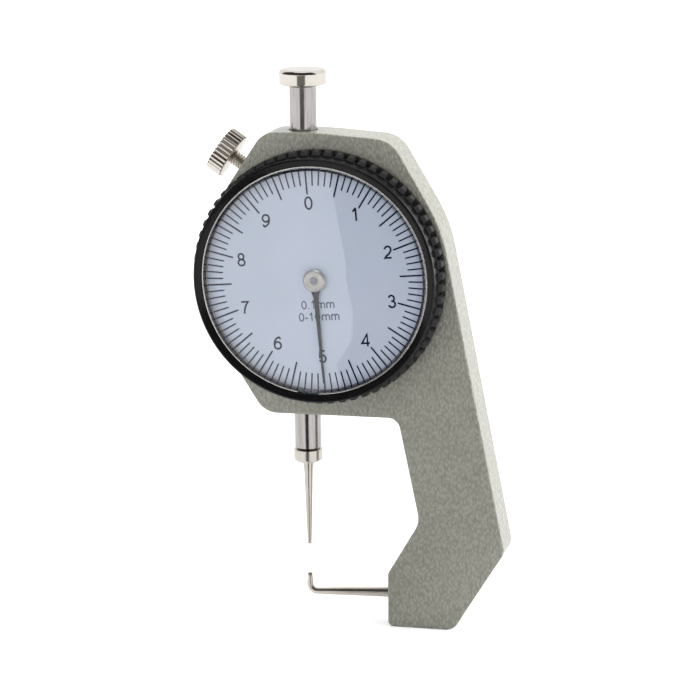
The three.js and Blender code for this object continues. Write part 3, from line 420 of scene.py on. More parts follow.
def pointerPaint():
    paint = {"deep": colour(14, 17, 26), "thin": colour(32, 36, 46), "grainSize": 0.3, "grainDepth": 0.003}
    finish = Finish("pointer_paint")
    grain = finish.noise(paint["grainSize"], 3, 0.6)
    tone = finish.mixed(grain.between(0.35, 0.7), paint["deep"], paint["thin"])
    finish.set(Base_Color=tone, Specular_IOR_Level=0.3, Roughness=0.45 + 0.12 * grain,
               Normal=finish.bumped(grain, paint["grainDepth"], 0.3))
    return finish.material


def bossMetal():
    # Turned rings, and a dark line where the disc meets the riveted shaft
    metal = {"bright": colour(198, 197, 193), "dull": colour(170, 168, 163), "seam": colour(110, 102, 96),
             "seamRadius": (0.62, 0.74), "ringSize": 0.25, "ringDepth": 0.006, "filmSize": 1.2}
    finish = Finish("boss_metal")
    rings = finish.turnedRings(metal["ringSize"])
    film = finish.noise(metal["filmSize"])
    seam = 1 - (finish.radiusFromDial() / mm).between(*metal["seamRadius"])
    tone = finish.mixed(film.between(0.35, 0.7) * 0.5 + rings * 0.4, metal["bright"], metal["dull"])
    finish.set(Base_Color=finish.mixed(seam * 0.7, tone, metal["seam"]), Metallic=0.8,
               Roughness=0.26 + 0.12 * rings, Normal=finish.bumped(rings, metal["ringDepth"], 0.4))
    return finish.material


def clearCrystal():
    # Acrylic that bends the view of what is under it, and lets the lamps straight through
    acrylic = {"clear": (1, 1, 1, 1), "smeared": (0.97, 0.98, 1, 1), "smearSize": 8, "bending": 1.44,
               "lampTint": (0.96, 0.97, 0.98, 1)}
    finish = Finish("clear_plastic")
    smear = finish.noise(acrylic["smearSize"], 3, 0.6)
    finish.set(Base_Color=finish.mixed(smear * 0.3, acrylic["clear"], acrylic["smeared"]),
               Transmission_Weight=1, IOR=acrylic["bending"], Roughness=0.004 * smear)
    straight = finish.node("ShaderNodeBsdfTransparent", {}, {"Color": acrylic["lampTint"]})
    finish.givesWay(finish.node("ShaderNodeLightPath").outputs["Is Shadow Ray"], straight)
    return finish.material


paints = {
    "hammertone": hammertonePaint(),
    "chrome": platedChrome(),
    "nickel": platedChrome("nickel", (232, 226, 219), 0.25, 0.05),
    "polished": platedChrome("polished_chrome", (228, 223, 217), 0.08, 0.14),
    "bright": platedChrome("bright_wire", (242, 241, 239), 0.22, 0.03),
    "ground": drawnSteel("ground_steel", (188, 184, 183), 0.12, "z"),
    "steel": drawnSteel("steel", (186, 187, 190), 0.2, "y"),
    "spring": drawnSteel("spring_steel", (150, 154, 162), 0.2, "x"),
    "satin": satinSteel(),
    "brass": turnedBrass(),
    "plastic": blackPlastic(),
    "dial": dialPaint(),
    "ink": printedInk("dial_ink", colour(6, 14, 48)),
    "greyInk": printedInk("dial_ink_grey", colour(66, 73, 94)),
    "pointer": pointerPaint(),
    "boss": bossMetal(),
    "clear": clearCrystal(),
}
print("materials made:", len(paints))


# Shapes

def cornerRound(before, corner, after, radius):
    # The circle that rounds a corner: its middle, first spoke and sweep, and its reach along both sides
    back, on = before - corner, after - corner
    half = back.angle(on) / 2
    reach = radius / math.tan(half)
    backWay, onWay = back.normalized(), on.normalized()
    centre = corner + (backWay + onWay).normalized() * (radius / math.sin(half))
    start = corner + backWay * reach - centre
    end = corner + onWay * reach - centre
    sweep = math.atan2(start.x * end.y - start.y * end.x, start.dot(end))
    return centre, start, sweep, reach


def spokes(start, sweep, steps):
    for k in range(steps + 1):
        angle = sweep * k / steps
        yield Vector((start.x * math.cos(angle) - start.y * math.sin(angle),
                      start.x * math.sin(angle) + start.y * math.cos(angle)))


def neighbours(corners, i):
    return Vector(corners[i - 1][:2]), Vector(corners[(i + 1) % len(corners)][:2])


def softened(corners, closed=False, steps=4, guard=0.04):
    # A profile of (radius, height, rounding) corners as plain points. Where there is room, a guard point
    # beside each rounding keeps the flat next to it flat.
    points = []
    for i, (radius, height, rounding) in enumerate(corners):
        corner = Vector((radius, height))
        atEnd = not closed and i in (0, len(corners) - 1)
        if rounding == 0 or atEnd:
            points.append(corner)
            continue
        sides = neighbours(corners, i)
        centre, start, sweep, reach = cornerRound(sides[0], corner, sides[1], rounding)
        guards = [[corner + (side - corner).normalized() * (reach + guard)]
                  if (side - corner).length > reach + 3 * guard else [] for side in sides]
        points += guards[0] + [centre + spoke for spoke in spokes(start, sweep, steps)] + guards[1]
    return points


def ring(shape, radius, height, steps):
    # A row of corners about Z, or the single corner of a pole
    if radius < 1e-6:
        return [shape.verts.new((0, 0, height))]
    return [shape.verts.new((radius * math.cos(fullTurn * k / steps),
                             radius * math.sin(fullTurn * k / steps), height)) for k in range(steps)]


def upright(shape, profile, angle):
    # A row of corners from a profile of radius and height, at an angle about Z
    return [shape.verts.new((point.x * math.cos(angle), point.x * math.sin(angle), point.y))
            for point in profile]


def skinned(shape, rows, closed=True, capped=False):
    # Faces from each row of corners to the next, where a row of one corner is a pole
    for first, second in zip(rows, rows[1:]):
        steps = max(len(first), len(second))
        for k in range(steps if closed else steps - 1):
            on = (k + 1) % steps
            corners = [first[k % len(first)], first[on % len(first)],
                       second[on % len(second)], second[k % len(second)]]
            face = list(dict.fromkeys(corners))
            if len(face) > 2:
                shape.faces.new(face)
    if capped:
        shape.faces.new(rows[0])
        shape.faces.new(rows[-1])
    return shape


def turned(profile, steps=96, closed=False):
    # A body turned about Z from a softened profile
    shape = bmesh.new()
    rings = [ring(shape, point.x, point.y, steps) for point in profile]
    return skinned(shape, rings + rings[:1] if closed else rings)


def placed(name, shape, place, material, sharp=35):
    # The finished object: its place is in its mesh, in metres
    shape.transform(Matrix.Scale(mm, 4) @ place)
    bmesh.ops.recalc_face_normals(shape, faces=shape.faces)
    mesh = bpy.data.meshes.new(name)
    shape.to_mesh(mesh)
    shape.free()
    mesh.materials.append(material)
    obj = bpy.data.objects.new(name, mesh)
    scene.collection.objects.link(obj)
    smooth(obj, sharp)
    return obj


def smooth(obj, sharp=35):
    obj.data.polygons.foreach_set("use_smooth", [True] * len(obj.data.polygons))
    obj.data.set_sharp_from_angle(angle=math.radians(sharp))


def cutAway(obj, cutters, sharp=35):
    # Subtracts closed shapes, each given with its place
    made = []
    for i, (shape, place) in enumerate(cutters):
        cutter = placed(f"cutter_{i}", shape, place, obj.data.materials[0])
        modifier = obj.modifiers.new(cutter.name, "BOOLEAN")
        modifier.operation = "DIFFERENCE"
        modifier.solver = "EXACT"
        modifier.object = cutter
        made.append(cutter)
    bakeModifiers(obj)
    for cutter in made:
        mesh = cutter.data
        bpy.data.objects.remove(cutter)
        bpy.data.meshes.remove(mesh)
    smooth(obj, sharp)


def added(obj, shape, place):
    # Another closed body in the same mesh
    extra = placed("extra", shape, place, obj.data.materials[0])
    both = bmesh.new()
    both.from_mesh(obj.data)
    both.from_mesh(extra.data)
    both.to_mesh(obj.data)
    both.free()
    bpy.data.objects.remove(extra)
    smooth(obj)


def drum(radius, low, high, steps=48):
    corners = ((0, low), (radius, low), (radius, high), (0, high))
    return turned([Vector(corner) for corner in corners], steps)


def block(low, high):
    shape = bmesh.new()
    bmesh.ops.create_cube(shape, size=1)
    size = Vector(high) - Vector(low)
    shape.transform(Matrix.Translation((Vector(high) + Vector(low)) / 2) @ Matrix.Diagonal((*size, 1)))
    return shape


def outlineOf(corners, arcStepDegrees=5):
    # The points of an outline in X and Z with the way out at each, round its rounded corners
    points = []
    for i, (x, z, radius) in enumerate(corners):
        before, after = neighbours(corners, i)
        centre, start, sweep, _ = cornerRound(before, Vector((x, z)), after, radius)
        outward = 1 if sweep < 0 else -1
        steps = max(2, math.ceil(abs(math.degrees(sweep)) / arcStepDegrees))
        points += [(centre + spoke, spoke.normalized() * outward) for spoke in spokes(start, sweep, steps)]
    return points


def slabWithRoundEdges(outline, back, front, rounding, steps=5, guard=0.05):
    # A flat body between two places along Y, its outline drawn in where the edges round off
    shape = bmesh.new()
    quarter = math.pi / 2
    arc = [(rounding * (1 - math.sin(quarter * k / steps)), rounding * (1 - math.cos(quarter * k / steps)))
           for k in range(steps + 1)]
    levels = [(rounding + guard, 0)] + arc + [(0, rounding + guard)]
    rows = [(inset, back - depth) for inset, depth in levels]
    rows += [(inset, front + depth) for inset, depth in reversed(levels)]
    rings = [[shape.verts.new((point.x - way.x * inset, y, point.y - way.y * inset))
              for point, way in outline] for inset, y in rows]
    return skinned(shape, rings, capped=True)


def sector(profileAt, count, stations, closed=True):
    # One of many equal parts of a ring about Z, open at its two sides
    shape = bmesh.new()
    shares = [j / stations - 0.5 for j in range(stations + 1)]
    rows = [upright(shape, profileAt(share), fullTurn * share / count) for share in shares]
    return skinned(shape, rows, closed)


ringPattern = Pattern("ring of copies", ("Count",))
ringPattern.copied(ringPattern.node("GeometryNodePoints", {}, {"Count": ringPattern.size("Count")}),
                   ringPattern.index * fullTurn / ringPattern.size("Count"))


def ringOf(name, shape, count, place, material, sharp=35):
    # Copies of a shape round Z, welded into one body and then placed
    obj = placed(name, shape, asDrawn, material)
    ringPattern.applied(obj, {"Count": count, "Weld": weld * mm, "Material": material})
    copies = bmesh.new()
    copies.from_mesh(obj.data)
    copies.transform(inMetres(place))
    bmesh.ops.remove_doubles(copies, verts=copies.verts, dist=weld * mm)
    bmesh.ops.recalc_face_normals(copies, faces=copies.faces)
    copies.to_mesh(obj.data)
    copies.free()
    smooth(obj, sharp)
    return obj


def carried(obj, body, slot, *replaced):
    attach(obj, body)
    if replaced:
        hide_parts(*replaced)
    return obj


# Frame

casting = {
    "headRadius": 20.8, "topSlant": 34, "undersideSlant": 32, "edgeRound": 0.28,
    "crest": (0.5, 50), "topLeftFillet": 4, "topRight": (11.9, 0.9, 5), "shoulder": (20.1, 8.4, 24),
    "heel": (30.3, -45.3, 2.2), "foot": (21.7, 2.4), "jaw": (10.7, 1), "jawTop": (-49.9, 1),
    "throat": (16.1, -40.8, 4), "armpit": (12.6, 2), "undersideZ": -23.35, "undersideFillet": 4,
    "web": -7.1, "chamber": 12, "coverSeat": (15.65, 1.25), "bushSeat": 2.8, "bushLip": 0.8,
    "lipBore": 2.4, "bearingHole": 1.85, "sharp": 32,
}
collar = {"bore": 16.6, "radius": 18.2, "height": 2.1, "edge": 0.15, "sink": 0.5, "groove": (1, 1.6),
          "depth": 0.5}
ledge = {"left": 7, "right": 12.1, "half": 3.8, "back": -3, "sink": 0.4}
guideGroove = {"half": 0.72, "depth": 0.9, "low": -7.72, "high": 3.72}
setScrewHole = {"inset": 2.6, "radius": 1, "height": 4}


def frameCorners():
    radius = casting["headRadius"]
    top, low = math.radians(casting["topSlant"]), math.radians(casting["undersideSlant"])
    under = casting["undersideZ"]
    middle, reach = (top - low) / 2, radius / math.cos((top + low) / 2)

    def slantMeets(z, angle):
        return (z * math.sin(angle) - radius) / math.cos(angle)

    crestX, crestFillet = casting["crest"]
    rightX, rightFall, rightFillet = casting["topRight"]
    footX, footFillet = casting["foot"]
    jawX, jawFillet = casting["jaw"]
    jawTopZ, jawTopFillet = casting["jawTop"]
    armpitX, armpitFillet = casting["armpit"]
    return [
        (slantMeets(topZ, top), topZ, casting["topLeftFillet"]),
        (crestX, topZ, crestFillet),
        (rightX, topZ - rightFall, rightFillet),
        casting["shoulder"],
        casting["heel"],
        (footX, footZ, footFillet),
        (jawX, footZ, jawFillet),
        (jawX, jawTopZ, jawTopFillet),
        casting["throat"],
        (armpitX, under, armpitFillet),
        (slantMeets(-under, low), under, casting["undersideFillet"]),
        (-reach * math.cos(middle), reach * math.sin(middle), radius),
    ]


anvilSizes = {
    "rootZ": footZ + 4.78, "droop": 0.62, "seat": 5, "rootRadius": 1.04, "neckRadius": 0.58,
    "tipRadius": 0.4, "bend": 1.25, "height": 3.2, "tipRound": 0.12, "tipShoulderShare": 0.3,
}
lockSizes = {
    "padEnd": 4.7, "padRadius": 1, "shank": 1.25, "stand": 2.35, "head": 3.9, "thick": 2.75,
    "pitch": 0.45, "threadDepth": 0.24, "flatShare": 0.15, "rooted": 0.3, "knurls": 30, "knurlDepth": 0.24,
    "ridgeShare": 0.4, "edge": 0.25, "underEdge": 0.15, "recess": (2.4, 2.2, 0.15, 0.1),
}
lockFace = casting["headRadius"] - Vector((lockOrigin.x, 0, lockOrigin.z)).dot(lockDirection)
lockUnder = lockFace + lockSizes["stand"]
coverScrews = {
    "count": 4, "circle": 13.8, "head": 1.35, "shank": 0.7, "length": 4, "sink": 0.1,
    "rim": 0.1, "cone": 0.65, "slot": (0.32, 0.32), "slotTurn": 0.6, "holeDepth": 4.3,
}


def anvilLine():
    root = Vector((casting["jaw"][0], spindleY, anvilSizes["rootZ"]))
    neck = Vector((spindleX + anvilSizes["bend"], spindleY, anvilSizes["rootZ"] - anvilSizes["droop"]))
    way = (root - neck).normalized()
    return root, neck, way


def coverScrewPlaces():
    # Each cover screw's place on the back, between the axes
    places = []
    for k in range(coverScrews["count"]):
        angle = fullTurn * (k + 0.5) / coverScrews["count"]
        way = Vector((math.cos(angle), 0, math.sin(angle)))
        places.append(Matrix.Translation(way * coverScrews["circle"]) @ onBack)
    return places


def frameCutters():
    web, under = casting["web"], casting["undersideZ"]
    seat, lip, bore = pick(casting, "bushSeat bushLip lipBore")
    seatRadius, seatDepth = casting["coverSeat"]
    padEnd = lockSizes["padEnd"]
    root, _, way = anvilLine()
    setScrewX = casting["jaw"][0] + setScrewHole["inset"]
    groove = guideGroove["half"]
    cutters = [
        (drum(casting["chamber"], web, overrun, 128), onBack),
        (drum(seatRadius, -seatDepth, overrun, 160), onBack),
        (drum(seat, 0, topZ - lip + fit), onSpindle),
        (drum(bore, overrun, topZ + overrun), onSpindle),
        (drum(seat, under + lip - fit, 0), onSpindle),
        (drum(bore, under - overrun, -overrun), onSpindle),
        (drum(lockSizes["padRadius"] + looseFit, 0, padEnd + overrun, 32), onLock),
        (drum(lockSizes["shank"] + looseFit, padEnd - looseFit, lockFace + overrun, 32), onLock),
        (drum(casting["bearingHole"], frameFront - overrun, web + overrun), onBack),
        (drum(anvilSizes["rootRadius"] + fit, -overrun, anvilSizes["seat"] + fit, 32), along(way, root)),
        (drum(setScrewHole["radius"], footZ - overrun, footZ + setScrewHole["height"], 32),
         Matrix.Translation((setScrewX, spindleY, 0))),
        (block((spindleX - groove, web - guideGroove["depth"], guideGroove["low"]),
               (spindleX + groove, web + overrun, guideGroove["high"])), asDrawn),
    ]
    return cutters + [(drum(coverScrews["shank"] + fit, -coverScrews["holeDepth"], 0, 24), place)
                      for place in coverScrewPlaces()]


def makeFrame():
    shape = slabWithRoundEdges(outlineOf(frameCorners()), frameBack, frameFront, casting["edgeRound"])
    obj = placed("casting", shape, asDrawn, paints["hammertone"])
    cutAway(obj, frameCutters(), casting["sharp"])
    inner, outer, top, sink, edge = pick(collar, "bore radius height sink edge")
    floor = outer - collar["depth"]
    start, stop = collar["groove"]
    profile = softened([(inner, -sink, 0), (inner, top, edge), (outer, top, edge), (outer, stop, 0),
                        (floor, stop, 0), (floor, start, 0), (outer, start, 0), (outer, -sink, 0)],
                       closed=True)
    added(obj, turned(profile, 160, closed=True), onDial)
    left, right, half, back = pick(ledge, "left right half back")
    added(obj, block((left, casting["web"] - ledge["sink"], -half), (right, back, half)), asDrawn)
    carried(obj, "frame", "hammertone_paint", "frame")


makeFrame()
print("frame made")


# Back cover and its screws

cover = {"radius": 15.6, "thick": 1.2, "edge": 0.3, "dish": 0.12, "dishRadius": 11.4, "dishSlope": 0.3}


def screwProfile(clearance, end, face):
    sink, edge, cone, shank, head = pick(coverScrews, "sink rim cone shank head")
    rim = -sink - edge
    neck = rim - cone
    shank += clearance
    head += clearance
    return [Vector(point) for point in (
        (0, end), (shank, end), (shank, neck), (head, rim), (head, face), (0, face))]


def makeCover():
    wide, thick, dish, dishRadius = pick(cover, "radius thick dish dishRadius")
    profile = softened([(0, -thick, 0), (wide, -thick, 0), (wide, 0, cover["edge"]), (dishRadius, 0, 0),
                        (dishRadius - cover["dishSlope"], -dish, 0), (0, -dish, 0)])
    obj = placed("cover_plate", turned(profile, 160), onBack, paints["satin"])
    hole = screwProfile(fit, -coverScrews["length"] + overrun, overrun)
    cutAway(obj, [(turned(hole, 48), place) for place in coverScrewPlaces()])
    carried(obj, "frame", "steel", "back_cover")


def makeCoverScrews():
    count, sink, length = pick(coverScrews, "count sink length")
    width, depth = coverScrews["slot"]
    screw = placed("one_screw", turned(screwProfile(0, -length, -sink), 48), asDrawn, paints["steel"])
    reach = coverScrews["head"] + overrun
    cutAway(screw, [(block((-reach, -width / 2, -sink - depth), (reach, width / 2, overrun)), asDrawn)])
    shape = bmesh.new()
    shape.from_mesh(screw.data)
    shape.transform(Matrix.Scale(1 / mm, 4))
    bpy.data.objects.remove(screw)
    out = Matrix.Translation((coverScrews["circle"], 0, 0))
    shape.transform(Matrix.Rotation(fullTurn / (2 * count), 4, "Z") @ out
                    @ Matrix.Rotation(coverScrews["slotTurn"], 4, "Z"))
    screws = ringOf("cover_screws", shape, count, onBack, paints["steel"])
    carried(screws, "frame", "steel", *[f"cover_screw_{k + 1}" for k in range(count)])


makeCover()
makeCoverScrews()
print("back cover made")


# Spindle, cap and contact point

spindle = {
    "radius": 2.2, "chamfer": 0.3, "low": boxInMm("spindle")[0].z - 0.4, "high": boxInMm("spindle")[1].z,
    "teeth": 24, "pitch": 10 / 16, "rackTip": 1.43155, "rackRoot": 1.84155, "toothThick": 0.2625,
    "slope": math.tan(math.radians(20)), "addendum": 0.16, "dedendum": 0.25, "soft": 0.1,
}
cap = {"radius": 3.85, "round": 0.65, "underRound": 0.2, "crown": 0.08, "gap": 0.02}
contact = {
    "collar": 2.4, "length": 2.2, "chamfer": 0.4, "flare": 0.95, "root": 0.76, "neck": 1.9, "tip": 0.34,
    "tipRound": 0.12, "curve": 6, "soft": 0.08, "underSoft": 0.05, "gap": 0.05,
    "low": boxInMm("contact_point")[0].z,
}


def rackComb():
    # The prism that cuts the teeth: everything to the right of the rack
    teeth, pitch, thick, slope = pick(spindle, "teeth pitch toothThick slope")
    end = teeth * pitch / 2
    tip, root = -spindle["rackTip"] - spindleX, -spindle["rackRoot"] - spindleX
    tipHalf = thick / 2 - spindle["addendum"] * slope
    rootHalf = thick / 2 + spindle["dedendum"] * slope
    clear = spindle["radius"] + overrun
    outline = [(clear, -end), (root, -end)]
    for k in range(teeth):
        z = (k + 0.5) * pitch - end
        outline += [(root, z - rootHalf), (tip, z - tipHalf), (tip, z + tipHalf), (root, z + rootHalf)]
    outline += [(root, end), (clear, end)]
    shape = bmesh.new()
    rows = [[shape.verts.new((x, y, z)) for x, z in outline] for y in (-clear, clear)]
    return skinned(shape, rows, capped=True)


def makeRod():
    low, high, radius, edge, soft = pick(spindle, "low high radius chamfer soft")
    profile = softened([(0, low, 0), (radius - edge, low, 0), (radius, low + edge, soft),
                        (radius, high - edge, soft), (radius - edge, high, 0), (0, high, 0)])
    obj = placed("plunger_rod", turned(profile, 72), onSpindle, paints["ground"])
    cutAway(obj, [(rackComb(), onSpindle)])
    carried(obj, "spindle", "steel", "spindle")


def makeCap():
    wide, crown, rounding, under = pick(cap, "radius crown round underRound")
    base, top = spindle["high"] + cap["gap"], capHigh.z
    corners = [(0, base, 0), (wide, base, under), (wide, top - crown, rounding), (0, top, 0)]
    obj = placed("thumb_cap", turned(softened(corners, steps=7)), onSpindle, paints["polished"])
    carried(obj, "spindle", "chrome", "plunger_cap")


def makeContact():
    wide, edge, soft, flare, root, tip, low = pick(contact, "collar chamfer soft flare root tip low")
    collarTop = spindle["low"] - contact["gap"]
    collarEnd = spindle["low"] - contact["length"]
    corners = [(0, low, 0), (tip, low, contact["tipRound"]),
               (root, collarEnd - contact["neck"], contact["curve"]), (flare, collarEnd, 0),
               (wide - edge, collarEnd, contact["underSoft"]), (wide, collarEnd + edge, soft),
               (wide, collarTop, soft), (0, collarTop, 0)]
    obj = placed("needle_contact", turned(softened(corners), 72), onSpindle, paints["chrome"])
    carried(obj, "spindle", "chrome", "contact_point")


makeRod()
makeCap()
makeContact()
print("spindle made")


# Anvil

def anvilPath():
    # Places along the wire, with the way it runs and its radius: it tapers from its seat, bends up and
    # ends in a thin tip
    root, neck, way = anvilLine()
    thick, middling, thin, bend, rounding = pick(anvilSizes, "rootRadius neckRadius tipRadius bend tipRound")
    end = root + way * anvilSizes["seat"]
    path = [(end.lerp(neck, share), -way, thick + (middling - thick) * share)
            for share in (0, 0.25, 0.5, 0.75, 1)]
    centre = neck + Vector((0, 0, bend))
    bendSteps = 10
    for k in range(1, bendSteps):
        angle = math.pi / 2 * k / bendSteps
        spot = centre + Vector((-math.sin(angle), 0, -math.cos(angle))) * bend
        path.append((spot, Vector((-math.cos(angle), 0, math.sin(angle))), middling))
    lift = Vector((0, 0, 1))
    foot = Vector((spindleX, spindleY, centre.z))
    tip = Vector((spindleX, spindleY, neck.z + anvilSizes["height"]))
    path += [(foot.lerp(tip, share), lift, middling + (thin - middling) * share)
             for share in (0, 0.3, 0.6, 0.94)]
    drop = rounding * anvilSizes["tipShoulderShare"]
    return path + [(tip - lift * drop, lift, thin - drop), (tip, lift, thin - rounding)]


def makeAnvil():
    shape = bmesh.new()
    side = Vector((0, 1, 0))
    sides = 32
    turns = [fullTurn * k / sides for k in range(sides)]
    rows = []
    for spot, ahead, radius in anvilPath():
        across = ahead.cross(side)
        rows.append([shape.verts.new(spot + (side * math.cos(turn) + across * math.sin(turn)) * radius)
                     for turn in turns])
    skinned(shape, rows, capped=True)
    carried(placed("bent_anvil", shape, asDrawn, paints["nickel"]), "frame", "chrome", "anvil")


makeAnvil()
print("anvil made")


# Bezel, crystal and its ring

bezel = {
    "radius": 20, "bore": 19, "flange": 20.8, "notches": 66, "notchRadius": 0.5, "notchDepth": 0.75,
    "lift": 0.3, "flangeTop": 2.8, "slope": 0.4, "top": 5.45, "edge": 0.3, "cone": 0.55, "seatBore": 18.3,
    "lip": (18.76, 4.82), "grooveBore": 18.75, "groove": (0.9, 1.7), "ledge": (2.4, 3.0, 17.6),
    "step": 0.1, "soft": 0.12, "flangeSoft": (0.01, 0.18), "stations": 14,
}
crystal = {"base": 3.5, "foot": 0.8, "rim": 18.95, "inner": 18.05, "innerTop": 17.95, "shoulder": 18.36,
           "bevel": 0.2, "inside": 4.65, "thick": 0.6, "top": 5.1, "dome": 0.15, "soft": 0.05}
crystalRing = {"outer": 18.84, "width": 0.47, "thick": 0.42, "base": 4.33, "round": 0.19, "open": 11,
               "turn": 3.7}


def flangeReach(share):
    # How far the flange stands out at a share of the way from one tooth's middle to the next
    centre = bezel["flange"] - bezel["notchDepth"] + bezel["notchRadius"]
    angle = fullTurn * share / bezel["notches"]
    offset = centre * math.sin(angle)
    if abs(offset) >= bezel["notchRadius"]:
        return bezel["flange"]
    dip = centre * math.cos(angle) - math.sqrt(bezel["notchRadius"] ** 2 - offset ** 2)
    return min(bezel["flange"], dip)


def bezelProfile(share):
    wide = flangeReach(share)
    radius, bore, seatBore, grooveBore = pick(bezel, "radius bore seatBore grooveBore")
    lift, flangeTop, top, edge, soft = pick(bezel, "lift flangeTop top edge soft")
    low, high = bezel["groove"]
    ledgeLow, ledgeHigh, ledgeBore = bezel["ledge"]
    lipBore, lipUnder = bezel["lip"]
    least, most = bezel["flangeSoft"]
    fall = bezel["slope"] * (wide - radius) / (bezel["flange"] - radius)
    flangeSoft = min(most, max(least, (wide - radius) / 3))
    stepBore = seatBore + bezel["step"]
    corners = [
        (seatBore, lift, 0), (seatBore, low, 0), (grooveBore, low, 0), (grooveBore, high, 0),
        (stepBore, high, 0), (stepBore, ledgeLow, 0),
        (ledgeBore, ledgeLow, 0), (ledgeBore, ledgeHigh, 0), (bore, ledgeHigh, 0),
        (bore, lipUnder, 0), (lipBore, lipUnder, 0), (lipBore, top - bezel["cone"], 0),
        (radius - edge, top, soft), (radius, top - edge, soft),
        (radius, flangeTop, 0), (wide, flangeTop - fall, flangeSoft), (wide, lift, flangeSoft)]
    return softened(corners, closed=True, steps=3, guard=0)


def makeBezel():
    shape = sector(bezelProfile, bezel["notches"], bezel["stations"])
    obj = ringOf("notched_bezel", shape, bezel["notches"], onDial, paints["plastic"], sharp=40)
    carried(obj, "bezel", "black_plastic", "bezel")


def makeCrystal():
    rim, shoulder, inner, innerTop, soft = pick(crystal, "rim shoulder inner innerTop soft")
    base, foot, bevel, top, thick = pick(crystal, "base foot bevel top thick")
    under = [(0, crystal["inside"], 0), (innerTop, top - thick, soft), (inner, base, 0)]
    outside = [(rim, base, 0), (rim, base + foot, soft), (shoulder, base + foot, 0),
               (shoulder, top - bevel, 0), (shoulder - bevel, top, 2 * soft), (0, top + crystal["dome"], 0)]
    obj = placed("domed_crystal", turned(softened(under + outside), 160), onDial, paints["clear"])
    carried(obj, "bezel", "clear_plastic", "crystal")


def makeCrystalRing():
    outer, width, thick, base, rounding = pick(crystalRing, "outer width thick base round")
    section = ((outer - width, base), (outer, base), (outer, base + thick), (outer - width, base + thick))
    profile = softened([(*corner, rounding) for corner in section], closed=True, guard=0)
    shape = bmesh.new()
    half = math.radians(crystalRing["open"]) / 2
    start = math.radians(-90 - crystalRing["turn"]) + half
    steps = 180
    rows = [upright(shape, profile, start + (fullTurn - 2 * half) * k / steps) for k in range(steps + 1)]
    skinned(shape, rows, capped=True)
    carried(placed("crystal_clip", shape, onDial, paints["bright"]), "bezel", "chrome", "crystal_ring")


makeBezel()
makeCrystal()
makeCrystalRing()
print("bezel and crystal made")


# Print on the dial

scale = {
    "turn": 4.5, "face": 3.45, "raise": 0.012, "divisions": 100, "long": 5,
    "outer": 18.4, "short": 15.4, "deep": 14.0, "thin": 0.24, "bold": 0.28, "corner": 0.06,
}
numerals = {"height": 2.05, "stroke": 0.3, "shift": 0.08,
            "radii": (12.6, 12.8, 13.0, 12.95, 12.6, 12.6, 12.45, 12.85, 12.7, 12.45)}
units = {"height": 1.33, "stroke": 0.19,
         "lines": (("0.1", -1.45, -4.0), ("mm", 1.38, -4.0), ("0-10", -1.48, -6.0), ("mm", 2.02, -6.0))}

onScale = onDial @ Matrix.Rotation(math.radians(scale["turn"]), 4, "Z")
inkBase, inkTop = scale["face"], scale["face"] + scale["raise"]
scaleLengths = ("outer", "short", "deep", "thin", "bold", "raise")
scalePattern = Pattern("dial scale", ("divisions", "long"), scaleLengths)


def wireScalePattern():
    plan = scalePattern
    divisions, long, outer, short, deep, thin, bold, thick = (
        plan.size(label) for label in ("divisions", "long", *scaleLengths))
    isShort = (plan.index % long).between(0, 0.5)
    inner = deep + isShort * (short - deep)
    width = bold + isShort * (thin - bold)
    angle = plan.index * fullTurn / divisions
    middle = (outer + inner) / 2
    spot = plan.node("ShaderNodeCombineXYZ", {}, {
        "X": middle * plan.maths("SINE", angle), "Y": middle * plan.maths("COSINE", angle)})
    size = plan.node("ShaderNodeCombineXYZ", {}, {"X": width, "Y": outer - inner, "Z": thick})
    points = plan.node("GeometryNodePoints", {}, {"Count": divisions, "Position": spot.outputs[0]})
    plan.copied(points, 0 - angle, Scale=size.outputs[0])


wireScalePattern()


def arcStroke(x, y, wide, tall, start, end, steps=18):
    # Part of an oval, by its middle, half sizes and angles in degrees
    angles = anglesFrom(start, end, steps)
    return [(x + wide * math.cos(angle), y + tall * math.sin(angle)) for angle in angles]


